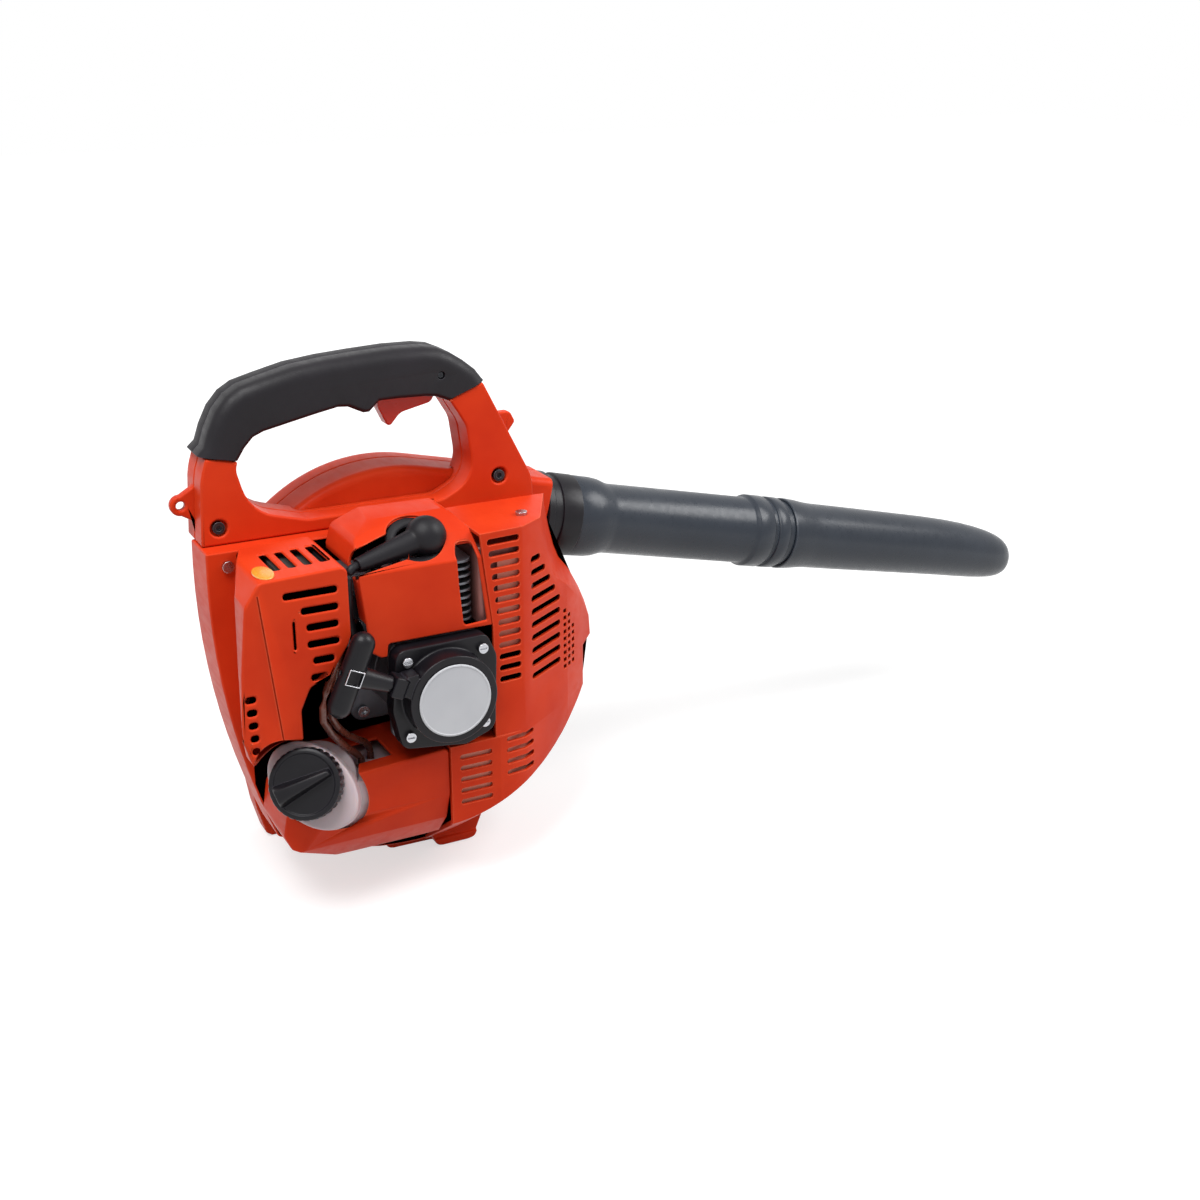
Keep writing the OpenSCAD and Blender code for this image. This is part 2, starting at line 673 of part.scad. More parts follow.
module nozzle_pipe() {
    color(slate) difference() {
        union() {
            on_pipe_axis(0) rotate_extrude()
                polygon(concat(nozzle_side(0), flipped(nozzle_side(pipe_wall))));
            for (u = [joint_u + 4, joint_u + 30])
                on_pipe_axis(u) difference() {
                    cylinder(h = 4, r = pipe_r + 1.5);
                    translate([0, 0, -bite]) cylinder(h = 6, r = pipe_r - 1);
                }
        }
        on_pipe_axis(tip_u) rotate([0, -52, 0]) translate([-60, -60, 6]) cube([120, 120, 60]);
    }
}

// ------------------------------------------------------------------ covers
// Level section of the engine cover: front face, louvred facet, side facet.

function seam_x(z) = seam_low.x + min(1, max(0, (z - seam_low.y) / (seam_top.y - seam_low.y)))
    * (seam_top.x - seam_low.x);

module engine_cover_form(d) {
    intersection() {
        union() {
            translate([0, 0, low_cover_top - wall + d]) linear_extrude(height = cover_top_z - low_cover_top + wall - 2 * d)
                polygon(inset(cover_section, d));
            linear_extrude(height = low_cover_top - d) polygon(inset(low_section, d));
        }
        rotate([0, 0, -shoulder_lean]) along_y(-160, 120) polygon(inset(shoulder_side, d));
        union() {
            block([0, -100, axis_z], [200, cover_back_y + (d > 0 ? 5 : 0), 400]);
            crank_turned() polygon([[0, -90 ], [104 - d * 1.3, -90], [104 - d * 1.3, -80 + d], [guard_r - d * 1.3, cover_back_y],
                [guard_r - d * 1.3, cover_back_y + (d > 0 ? 5 : 0)], [0, cover_back_y + (d > 0 ? 5 : 0)]]);
        }
    }
}

module engine_cover() {
    color(orange) difference() {
        union() {
            difference() {
                engine_cover_form(0);
                engine_cover_form(wall);
            }
            translate([top_screw_at.x, top_screw_at.y, cover_top_z - 9]) cylinder(h = 8, r = 5);
        }
        translate([top_screw_at.x, top_screw_at.y, cover_top_z - 12]) cylinder(h = 20, r = 1.6);
        // Open side towards the cylinder.
        block([0, -78 + wall, low_cover_top], [cover_left_x + wall + bite, 20, cover_top_z - wall]);
        block([0, -74, 0], [low_cover_x + wall + bite, 20, low_cover_top - 12]);
        along_y(-90, 10) polygon([[0, low_cover_top], [seam_low.x, low_cover_top], seam_low,
            seam_top + [-0.2, 2], [0, seam_top.y + 2]]);
        for (i = [0 : 12])
            slot_y(seam_x(154 + i * 8.4) + 4.5, 61, 154 + i * 8.4, -90, -66, 4.4);
        for (i = [0 : 9])
            slot_y(72, 104 - max(0, i - 5) * 5.5, 148 + i * 9.6, -90, -30, 4.8);
        for (x = [mesh_x : mesh_step : mesh_x + 4 * mesh_step], z = [axis_z - 20 : mesh_step : axis_z + 38])
            if (x < mesh_x + 16 - max(0, z - axis_z - 2) * 0.62)
                block([x, -60, z], [x + mesh_hole, cover_back_y - 4, z + mesh_hole]);
        for (i = [0 : 4])
            slot_y(12, 36, 68 + i * 8.6, -90, -66, 3.8);
        for (i = [0 : 3])
            slot_y(48, 72, 82 + i * 8.6, -90, -56, 3.8);
    }
}

module plug_hole_frame() {
    translate(plug_hole_at) rotate([38, 0, 0]) children();
}

module cyl_cover_form(d) {
    intersection() {
        along_y(cover_y - 10, cover_back_y) polygon(inset(cyl_cover_outline, d));
        translate([-100, 0, 0]) rotate([90, 0, 90]) linear_extrude(height = 200)
            polygon(inset([[cover_y, 150], [cover_back_y + (d > 0 ? 9 : 0), 150], [cover_back_y + (d > 0 ? 9 : 0), 272],
                [-40, 271], [-62, 262], [cover_y, 246]], d));
    }
}

module cylinder_cover() {
    color(orange) difference() {
        cyl_cover_form(0);
        cyl_cover_form(wall);
        block([-50, cover_y + wall, 180], [seam_low.x, 0, 240]);
        block([-60, -62, 180], [-40, 0, 246]);
        translate([wall + 4, 0, 0]) cyl_cover_form(wall);
        // Room for the plug cap, its arm and the cable.
        plug_hole_frame() cylinder(h = 60, r = plug_hole_r, center = true);
        arm_frame() cylinder(h = norm(arm_v) + 12, r1 = 13.5, r2 = 8.5);
        along_y(cover_y - bite, cover_y + 9.5) polygon(fin_window);
    }
}

// Box bounded by its outline and by a left side that leans in towards the back.
module air_box_form(d, y1) {
    intersection() {
        along_y(box_y + d, y1) polygon(inset(air_outline, d));
        linear_extrude(height = 300) polygon(inset(box_plan, d));
    }
}

module air_cleaner_cover() {
    color(orange) difference() {
        air_box_form(0, cover_back_y);
        air_box_form(wall, cover_back_y + bite);
        disc_x(box_right_x - wall - bite, box_right_x + bite, cyl_y, throat_z, throat_r + 3);
        for (i = [0 : 5])
            slot_y(slot_from[i], slot_to[i], 243 - i * slot_step * 1.05, box_y - bite,
                box_y + wall + bite, slot_w);
        for (i = [0 : 4])
            slot_y(-137 + 0.5 * i + 2, -128, 178 - i * 9, box_y - bite, box_y + wall + bite, slot_w);
        for (i = [0 : 3])
            block([-106 + i * 10.5, box_y + 18, 250], [-101 + i * 10.5, box_y + 52, 262]);
        block([-101, box_y - bite, 206], [-99.4, box_y + wall + bite, 226]);
        cap_room();
        for (p = case_screw_at)
            disc_y(p.x, p.y, case_y - 12, cover_back_y + bite, 6);
    }
}

module disc_x(x0, x1, y, z, r) {
    translate([x0, y, z]) rotate([0, 90, 0]) cylinder(h = x1 - x0, r = r);
}

module air_cleaner_base() {
    color(black) difference() {
        block([box_right_x - wall - 0.3 - 3, box_y + wall + 3, 212], [box_right_x - wall - 0.3, cover_back_y - 4, 252]);
        disc_x(-80, -60, cyl_y, throat_z, throat_r);
    }
}

module air_filter() {
    color("#8c8f86") translate([-100, 0, 0]) rotate([90, 0, 90]) linear_extrude(height = 100 - 69.1)
        polygon(rounded([[box_y + wall + 4, 214, 5], [cover_back_y - 6, 214, 5], [cover_back_y - 6, 250, 5], [box_y + wall + 4, 250, 5]]));
}

// ------------------------------------------------------------- carburettor

module carburettor() {
    color(alloy) difference() {
        union() {
            block([carb_x[0], cyl_y - 14, throat_z - 15], [carb_x[1], cyl_y + 14, throat_z + 15]);
            block([carb_x[0] + 2, cyl_y - 12, throat_z + 14], [carb_x[1] - 2, cyl_y + 12, throat_z + 18]);
        }
        disc_x(-70, -30, cyl_y, throat_z, throat_r);
        translate([-51, cyl_y, throat_z - 16]) cylinder(h = 6, r = 8.4);
    }
}

module insulator_block() {
    color("#3b2a24") difference() {
        block([carb_x[1] + seat, cyl_y - 13, throat_z - 13], [-boss_x - seat, cyl_y + 13, throat_z + 11]);
        disc_x(-45, -25, cyl_y, throat_z, throat_r);
    }
}

module choke_lever() {
    color(black) {
        disc_y(choke_at.x, choke_at.y, cyl_y - 14 - 6, cyl_y - 14 - seat, 4);
        along_y(cyl_y - 20, cyl_y - 17) polygon(rounded([[-53, throat_z - 13, 1.5], [-49, throat_z - 13, 1.5],
            [-48.4, throat_z, 0], [-53.6, throat_z, 0]]));
    }
}

module primer_bulb() {
    color("#d9b9b0") translate([-51, cyl_y, throat_z - 15 - 4]) {
        cylinder(h = 5, r = 7.9);
        intersection() {
            sphere(r = 7.9);
            translate([0, 0, -10]) cylinder(h = 10.1, r = 9);
        }
    }
}

// ------------------------------------------------------------------ engine

module crankcase_form(y0, y1) {
    difference() {
        union() {
            difference() {
                crank_disc(y0, y1, crankcase_r);
                block([-60, y0 - bite, cyl_base_z - 0.15], [60, y1 + bite, 300]);
            }
            intersection() {
                block([-26, cyl_y - 26, axis_z], [26, cyl_y + 26, cyl_base_z - 0.15]);
                block([-60, y0, 0], [60, y1, 300]);
            }
            children();
        }
        crank_disc(cyl_y - 17, cyl_y + 17, web_r + 2.5);
        crank_disc(cyl_y - 17 - bearing_w - 0.1, cyl_y + 17 + bearing_w + 0.1, bearing_r);
        crank_disc(-90, 10, shaft_r + 1);
        translate([0, cyl_y, axis_z]) cylinder(h = 60, r = bore_r + 1.5);
    }
}

module crankcase_front() {
    s = starter_square / 2;
    color(alloy) difference() {
        crankcase_form(case_front_end, cyl_y - 0.15)
            along_y(case_front_end, case_front_end + 5)
                polygon(rounded([[-s - 7, axis_z - s - 7, 6], [s + 7, axis_z - s - 7, 6],
                    [s + 7, axis_z + s + 7, 6], [-s - 7, axis_z + s + 7, 6]]));
        for (x = [-s, s], z = [-s, s])
            disc_y(x, axis_z + z, -90, -50, 2.1);
    }
}

module crankcase_rear() {
    p = post_at + post_r + 2;
    color(alloy) difference() {
        crankcase_form(cyl_y + 0.15, mount_y)
            along_y(mount_y - 6, mount_y) polygon(rounded([[-p, axis_z - p, 8], [p, axis_z - p, 8],
                [p, axis_z + p, 8], [-p, axis_z + p, 8]]));
        for (x = [-1, 1], z = [-1, 1])
            disc_y(x * post_at, axis_z + z * post_at, mount_y - 8, mount_y + bite, bolt_r + 0.1);
    }
}

module engine_cylinder() {
    color(alloy) difference() {
        union() {
            block([-26, cyl_y - 26, cyl_base_z + 0.15], [26, cyl_y + 26, cyl_base_z + 5]);
            translate([0, cyl_y, cyl_base_z + 1]) cylinder(h = bore_top + 8 - cyl_base_z - 1, r = bore_r + 5);
            for (i = [0 : fin_count - 1])
                translate([0, cyl_y, fin_z + i * fin_step]) linear_extrude(height = 1.8)
                    polygon(rounded([[-30, -29, 8], [30, -29, 8], [30, 23, 8], [-30, 23, 8]]));
            block([-boss_x, cyl_y - 12, throat_z - 11], [0, cyl_y + 12, throat_z + 9]);
            block([0, cyl_y - 13, 208], [boss_x, cyl_y + 13, 230]);
            plug_frame() translate([0, 0, -12]) cylinder(h = 12, r = 10);
        }
        plug_frame() cylinder(h = 10, r = 9.6);
        plug_frame() translate([0, 0, 9]) cylinder(h = 40, r = 13);
        translate([0, cyl_y, 100]) cylinder(h = bore_top - 100, r = bore_r);
        disc_x(-40, 0, cyl_y, throat_z, 7);
        disc_x(0, 40, cyl_y, 219, 7);
        plug_frame() translate([0, 0, -12]) cylinder(h = 30, r = 5);
    }
}

module piston() {
    color("#b9bbbf") difference() {
        translate([0, cyl_y, piston_top - piston_h]) cylinder(h = piston_h, r = bore_r - running);
        translate([0, cyl_y, piston_top - piston_h - 1]) cylinder(h = piston_h - 3, r = bore_r - 3);
        disc_y(0, pin_z, cyl_y - 30, cyl_y + 30, 4);
    }
}

module wrist_pin() {
    color(steel) disc_y(0, pin_z, cyl_y - bore_r + 2, cyl_y + bore_r - 2, 3.99);
}

module crankshaft() {
    color(steel) {
        crank_disc(shaft_front, cyl_y - 6, shaft_r);
        crank_disc(cyl_y + 6, shaft_back, shaft_r);
        for (y = [cyl_y - 12, cyl_y + 6])
            crank_disc(y, y + 6, web_r);
        disc_y(0, axis_z + throw_r, cyl_y - 6.5, cyl_y + 6.5, 5);
    }
}

module main_bearings() {
    color("#8f9298") for (y = [cyl_y - 17 - bearing_w, cyl_y + 17])
        difference() {
            crank_disc(y, y + bearing_w, bearing_r - 0.02);
            crank_disc(y - 1, y + bearing_w + 1, shaft_r + running);
        }
}

module flywheel() {
    color("#9a9ca2") difference() {
        union() {
            difference() {
                crank_disc(-3, 9, flywheel_r);
                crank_disc(3, 10, flywheel_r - 6);
            }
            crank_disc(-5, 14, 13);
        }
        crank_disc(-8, 20, shaft_r + 0.02);
    }
}

module ratchet_hub() {
    color("#6f7278") difference() {
        union() {
            crank_disc(shaft_front + 1, case_front_end - 2, 11);
            for (a = [0, 180])
                translate([0, 0, axis_z]) rotate([0, a, 0])
                    along_y(shaft_front + 1, shaft_front + 4) polygon([[4, 8], [14, 10], [17, 3], [10, 2]]);
        }
        crank_disc(-90, -60, shaft_r + 0.02);
    }
}

module impeller() {
    color("#4a4d52") difference() {
        union() {
            crank_disc(fan_back_y - 3, fan_back_y, fan_r);
            crank_disc(fan_back_y - 36, fan_back_y, 12);
            crank_turned() polygon([[11, fan_back_y - 2], [34, fan_back_y - 2], [11, fan_back_y - 28]]);
            crank_turned() translate([fan_r - 14, fan_y0]) square([14, 2.5]);
            for (i = [0 : fan_blades - 1])
                translate([0, 0, axis_z]) rotate([0, i * 360 / fan_blades, 0])
                    translate([fan_r - 31, fan_y0 + 1, -8]) rotate([0, -14, 0])
                        cube([30, fan_back_y - fan_y0 - 2, 1.8]);
        }
        crank_disc(0, 100, shaft_r + 0.02);
        difference() {
            crank_disc(0, 100, fan_r + 20);
            crank_disc(-1, 101, fan_r);
        }
    }
}

module fan_nut() {
    color(steel) translate([0, fan_back_y + 0.2, axis_z]) rotate([-90, 0, 0]) difference() {
        union() {
            cylinder(h = 1.4, r = 12);
            cylinder(h = 5.5, r = 9, $fn = 6);
        }
        translate([0, 0, -1]) cylinder(h = 10, r = shaft_r + 0.02);
    }
}

module ignition_coil() {
    color("#33353b") {
        block([-17, -1, coil_z + 8], [17, 9, coil_z + 24]);
        difference() {
            union() {
                block([-15, 0, coil_z - 0.3], [-7, 8, coil_z + 9]);
                block([7, 0, coil_z - 0.3], [15, 8, coil_z + 9]);
            }
            crank_disc(-5, 12, flywheel_r + 0.4);
        }
    }
}

// Plug axis leans towards the starter side.

module plug_frame() {
    translate(plug_base) rotate([plug_lean, 0, 0]) children();
}

module spark_plug() {
    color("#d8d8d4") plug_frame() {
        translate([0, 0, -9]) cylinder(h = 11, r = 4.9);
        cylinder(h = 6.5, r = 8.2, $fn = 6);
        translate([0, 0, 6]) cylinder(h = boot_at - 3, r = 4.5);
    }
}

module arm_frame() {
    translate(boot_c) rotate([0, acos(arm_v.z / norm(arm_v)), atan2(arm_v.y, arm_v.x)]) children();
}

module plug_boot() {
    color(black) difference() {
        union() {
            plug_frame() translate([0, 0, 7]) cylinder(h = boot_at - 7, r = 9.5);
            translate(boot_c) sphere(r = 11.5);
            arm_frame() cylinder(h = norm(arm_v), r1 = 9.5, r2 = 5);
        }
        plug_frame() cylinder(h = boot_at + 3.3, r = 4.8);
        plug_frame() translate([0, 0, -5]) cylinder(h = 12, r = 9.6);
        arm_frame() translate([0, 0, norm(arm_v) - 7]) cylinder(h = 20, r = lead_r + 0.3);
    }
}

// Round tube swept along hand-placed points.
function ring(p, t, r, n) =
    let (side = unit(cross(abs(t.z) < 0.9 ? [0, 0, 1] : [1, 0, 0], t)), up = cross(t, side))
    [for (i = [0 : n - 1]) p + r * (side * cos(i * 360 / n) + up * sin(i * 360 / n))];

function curve(p, steps) =
    [for (i = [0 : len(p) - 2], s = [0 : steps - 1])
        let (a = p[max(i - 1, 0)], b = p[i], c = p[i + 1], d = p[min(i + 2, len(p) - 1)], t = s / steps)
        0.5 * (2 * b + (c - a) * t + (2 * a - 5 * b + 4 * c - d) * t * t
            + (3 * b - 3 * c + d - a) * t * t * t)];

module tube(route, r, sides, steps) {
    path = concat(curve(route, steps), [route[len(route) - 1]]);
    n = len(path);
    rings = [for (i = [0 : n - 1])
        ring(path[i], unit(path[min(i + 1, n - 1)] - path[max(i - 1, 0)]), r, sides)];
    polyhedron(points = [for (q = rings) each q],
        faces = concat(
            [[for (i = [0 : sides - 1]) i]],
            [for (k = [0 : n - 2], i = [0 : sides - 1])
                let (j = (i + 1) % sides) each [[k * sides + i, (k + 1) * sides + i, (k + 1) * sides + j],
                    [k * sides + i, (k + 1) * sides + j, k * sides + j]]],
            [[for (i = [sides - 1 : -1 : 0]) (n - 1) * sides + i]]));
}

module ht_lead() {
    color(black) {
        tube(lead_route, lead_r, 10, 3);
        arm_frame() translate([0, 0, norm(arm_v) - 6]) cylinder(h = 7.5, r = lead_r);
    }
}

module muffler() {
    color("#8d7f7c") difference() {
        union() {
            translate([0, 0, 196]) linear_extrude(height = 54)
                polygon(rounded([[boss_x + seat, -71, 5], [66, -69, 5], [78, -58, 8], [78, -18, 8], [boss_x + seat, -18, 4]]));
            block([70, -44, 200], [86, -34, 208]);
        }
        disc_x(20, 50, cyl_y, 219, 7);
        translate([0, 0, 198]) linear_extrude(height = 50)
            polygon(rounded([[boss_x + 3, -69, 4], [65, -67, 4], [76, -57, 6], [76, -20, 6], [boss_x + 3, -20, 3]]));
        disc_x(74, 90, -39, 204, 3);
    }
}

// ----------------------------------------------------------------- starter

module pull_frame() {
    translate([tee_c.x, rope_y, tee_c.y]) rotate([0, pull_a, 0]) children();
}

module starter_housing() {
    s = starter_square / 2;
    color(black) difference() {
        union() {
            along_y(starter_plate_y, starter_back_y)
                polygon(rounded([[-32, starter_low_z + 6, 8], [14, starter_low_z, 10], [36, 124, 10], [38, 178, 12],
                    [31, 194, 6], [-34, 193, 8], [-38, 150, 20]]));
            crank_disc(starter_front_y, starter_plate_y + 1, 31);
            pull_frame() translate([-38, -7, -7]) cube([9, 14, 14]);
            along_y(rope_y - 6.5, rope_y + 6.5) polygon([[-24, 160], [-24, 181], [-32, 180], [-37, 168]]);
        }
        crank_disc(starter_front_y + wall, starter_back_y + bite, 28.5);
        for (x = [-s, s], z = [-s, s])
            disc_y(x, axis_z + z, -90, -60, 2.1);
        pull_frame() translate([-60, 0, 0]) rotate([0, 90, 0]) cylinder(h = 60, r = rope_r + 1);
        block([-39, rope_y - 3, 168], [-10, rope_y + 3, 178.6]);
    }
    color(black) crank_disc(starter_front_y + wall - 0.5, -82, 5);
}

module starter_badge() {
    color("#c2c3c5") crank_disc(starter_front_y - 1.5, starter_front_y - 0.1, badge_r);
}

module starter_reel() {
    color("#55585e") difference() {
        union() {
            crank_disc(-98.7, -96.7, reel_r);
            crank_disc(-97, -91, reel_r - 9);
            crank_disc(-91.3, -89.3, reel_r);
        }
        crank_disc(-110, -80, 5 + running);
    }
}

function spiral(r0, r1, turns, steps) =
    [for (i = [0 : steps]) let (t = i / steps, a = 360 * turns * t) (r0 + (r1 - r0) * t) * [cos(a), sin(a)]];

module recoil_spring() {
    inner = spiral(7, 24, 5, 100);
    outer = spiral(8.2, 25.2, 5, 100);
    color("#70747c") translate([0, 0, axis_z]) along_y(-89, -85)
        polygon(concat(outer, [for (i = [len(inner) - 1 : -1 : 0]) inner[i]]));
}

module starter_grip() {
    color(black) pull_frame() difference() {
        union() {
            translate([0, 0, 8 - tee_len / 2]) cylinder(h = tee_len - 16, r = 8);
            for (s = [-1, 1])
                translate([0, 0, s * (tee_len / 2 - 8)]) sphere(r = 8);
            translate([-28.7, 0, 0]) rotate([0, 90, 0]) cylinder(h = 28.7, r1 = 5.5, r2 = 8);
        }
        translate([-30, 0, 0]) rotate([0, 90, 0]) cylinder(h = 60, r = rope_r + 0.2);
        translate([-5, -12, -5]) cube([10, 8, 10]);
    }
}

module starter_rope() {
    lay_r = reel_r - 9 + rope_r + 0.1;
    g = guide_c - [0, axis_z];
    lay_a = atan2(g.y, g.x) - acos(lay_r / norm(g));
    run = sqrt(g * g - lay_r * lay_r);
    color("#d8d3c6") {
        pull_frame() translate([-34, 0, 0]) rotate([0, 90, 0]) cylinder(h = 36, r = rope_r);
        translate([guide_c.x, rope_y, guide_c.y]) sphere(r = rope_r + 0.1);
        translate([0, rope_y, axis_z]) rotate([0, -lay_a, 0]) translate([lay_r, 0, 0])
            cylinder(h = run, r = rope_r);
    }
}

module starter_screws() {
    s = starter_square / 2;
    color(steel) for (x = [-s, s], z = [-s, s]) difference() {
        union() {
            disc_y(x, axis_z + z, starter_plate_y - 3, starter_plate_y - 0.1, 3.6);
            disc_y(x, axis_z + z, starter_plate_y - 0.2, -62, 2);
        }
        block([x - 2.6, starter_plate_y - 4, axis_z + z - 0.5], [x + 2.6, starter_plate_y - 2, axis_z + z + 0.5]);
    }
}

// -------------------------------------------------------------------- fuel

module cap_frame() {
    translate(cap_at) rotate([0, cap_lean, cap_turned]) children();
}

module cap_room() {
    cap_frame() translate([0, 0, -neck_root - 6]) cylinder(h = neck_root + 30, r = shoulder_r + 2);
}

// Body bounded by an outline in X and Z, the belly curve, a level section and the chin plane,
// all but the outline moved in by d.
module shroud_form(outline, d, y1) {
    intersection() {
        along_y(-90, y1) polygon(outline);
        translate([-150, 0, 0]) rotate([90, 0, 90]) linear_extrude(height = 200)
            polygon(inset(belly, d));
        linear_extrude(height = 130) polygon(inset(shroud_plan, d));
        translate(chin) rotate(chin_tilt) translate([-150, -150, d]) cube([300, 300, 200]);
    }
}

module lower_shroud() {
    color(orange) difference() {
        shroud_form(shroud_outline, 0, cover_back_y);
        shroud_form(inset(shroud_outline, wall), wall, cover_back_y + 10);
        cap_room();
        block([-66, -62, 90], [-32, -32, 120]);
    }
}

module tank_form(d) {
    shroud_form(inset(tank_outline, d), wall + tank_gap + d, tank_back_y - d);
}

module fuel_tank() {
    color([0.9, 0.86, 0.86]) difference() {
        union() {
            tank_form(0);
            cap_frame() translate([0, 0, -neck_root]) cylinder(h = neck_root - cap_h - 2, r = shoulder_r);
            cap_frame() translate([0, 0, -neck_root]) cylinder(h = neck_root - neck_gap, r = neck_r);
        }
        tank_form(wall);
        cap_frame() translate([0, 0, -neck_root - 5]) cylinder(h = 60, r = neck_r - wall);
        for (g = grommet_at)
            translate([g.x, g.y, 90]) cylinder(h = 20, r = hose_r + 0.5);
    }
}

module fuel_cap() {
    color(black) cap_frame() difference() {
        union() {
            translate([0, 0, -cap_h]) cylinder(h = cap_h - 6, r = cap_r);
            translate([-cap_r + 3, -6, -6.5]) cube([2 * cap_r - 6, 12, 6.5]);
        }
        translate([0, 0, -cap_h - 1]) cylinder(h = cap_h - cap_roof + 1, r = neck_r + 0.3);
    }
}

module cap_gasket() {
    color("#202024") cap_frame() translate([0, 0, -neck_gap + 0.05]) difference() {
        cylinder(h = neck_gap - cap_roof - 0.1, r = neck_r - 0.5);
        translate([0, 0, -bite]) cylinder(h = 8, r = neck_r - wall);
    }
}

module fuel_hoses() {
    color([0.75, 0.55, 0.45]) for (route = hose_routes)
        tube(route, hose_r, 8, 2);
}

module fuel_filter() {
    color("#d9d4c4") translate(filter_at) cylinder(h = filter_h, r = 7);
}

module engine_bolts() {
    y = mount_y - 6 - seat / 2;
    color(steel) for (x = [-1, 1], z = [-1, 1]) difference() {
        union() {
            disc_y(x * post_at, axis_z + z * post_at, y - 3.4, y, bolt_head_r);
            disc_y(x * post_at, axis_z + z * post_at, y - bite, mount_y + 14, bolt_r - 0.05);
        }
        disc_y(x * post_at, axis_z + z * post_at, y - 4, y - 1.4, bolt_r);
    }
}

module case_screws() {
    color(steel) for (p = case_screw_at) {
        disc_y(p.x, p.y, case_y - 2.6, case_y - 0.1, 4);
        disc_y(p.x, p.y, case_y - bite, case_y + 12, bolt_r - 0.05);
    }
}

module cover_screws() {
    color(steel) translate([top_screw_at.x, top_screw_at.y, 0]) {
        translate([0, 0, cover_top_z + 0.1]) cylinder(h = 2.2, r = 4);
        translate([0, 0, cover_top_z - 7]) cylinder(h = 8, r = 1.5);
    }
}

main_case();
fan_casing_inner();
fan_casing_outer();
handle_frame_near();
handle_frame_far();
grip_near();
grip_far();
throttle_trigger();
trigger_pin();
speed_set_lever();
stop_switch();
handle_bolts();
grip_screws();
engine_cover();
cylinder_cover();
air_cleaner_base();
air_cleaner_cover();
air_filter();
carburettor();
insulator_block();
choke_lever();
primer_bulb();
crankcase_front();
crankcase_rear();
engine_cylinder();
piston();
wrist_pin();
crankshaft();
main_bearings();
flywheel();
ratchet_hub();
impeller();
fan_nut();
ignition_coil();
spark_plug();
plug_boot();
ht_lead();
muffler();
starter_housing();
starter_badge();
starter_reel();
recoil_spring();
starter_grip();
starter_rope();
starter_screws();
fuel_tank();
fuel_cap();
cap_gasket();
fuel_hoses();
fuel_filter();
lower_shroud();
outlet_collar();
blow_pipe();
nozzle_pipe();
engine_bolts();
case_screws();
cover_screws();
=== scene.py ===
"""Looks of a hand-held petrol leaf blower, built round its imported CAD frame.

Every piece is modelled in the frame's own place, rides on a CAD body and takes its
finish from a material slot of the record. Sizes and places are in millimetres and
angles in degrees, except in Studio and Lamp, whose places are in metres.
"""

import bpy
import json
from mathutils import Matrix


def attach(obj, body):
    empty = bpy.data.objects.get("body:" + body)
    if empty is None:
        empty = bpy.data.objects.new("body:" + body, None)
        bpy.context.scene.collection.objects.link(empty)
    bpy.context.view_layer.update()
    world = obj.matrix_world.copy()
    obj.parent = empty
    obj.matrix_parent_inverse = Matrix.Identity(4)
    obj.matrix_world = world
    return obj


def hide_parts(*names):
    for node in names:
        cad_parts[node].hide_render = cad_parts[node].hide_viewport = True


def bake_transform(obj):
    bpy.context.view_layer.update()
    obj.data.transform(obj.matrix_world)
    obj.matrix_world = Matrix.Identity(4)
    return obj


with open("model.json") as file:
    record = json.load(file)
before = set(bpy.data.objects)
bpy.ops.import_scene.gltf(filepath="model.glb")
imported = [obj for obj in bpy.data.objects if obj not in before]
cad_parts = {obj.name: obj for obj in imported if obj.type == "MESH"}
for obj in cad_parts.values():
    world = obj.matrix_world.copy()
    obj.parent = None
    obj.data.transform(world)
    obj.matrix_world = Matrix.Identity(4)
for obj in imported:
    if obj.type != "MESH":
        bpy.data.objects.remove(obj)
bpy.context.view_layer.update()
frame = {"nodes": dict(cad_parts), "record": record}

import json
import logging
import math
from collections.abc import Sequence
from dataclasses import dataclass
from enum import Enum
from typing import Protocol

import bpy
from mathutils import Matrix, Vector

logging.basicConfig(level=logging.INFO, format="%(message)s")
log = logging.getLogger("blower")

MM = 0.001
Point = tuple[float, float, float]


# ------------------------------------------------------------------ finishes
class Grain(Enum):
    """The fine relief that a surface carries."""

    PEEL = "moulded gloss"
    PEBBLE = "moulded grain"
    STREAK = "drawn along X"
    CAST = "sand or die cast"
    MACHINED = "turned or plated"
    FELT = "fibres"
    BRAID = "twisted cord"
    SATIN = "printed or rubbed"


@dataclass(frozen=True)
class Finish:
    """One surface finish, with its pattern sizes in millimetres."""

    colour: str
    shade: str
    # colour of the paler edges: partly wear, partly painted highlight
    edge: str
    grain: Grain
    roughness: float
    spread: float = 0.06
    metallic: float = 0.0
    grain_mm: float = 1.0
    relief_mm: float = 0.02
    tone_mm: float = 55.0
    coat: float = 0.0
    subsurface: float = 0.0
    transmission: float = 0.0
    specular: float = 0.5
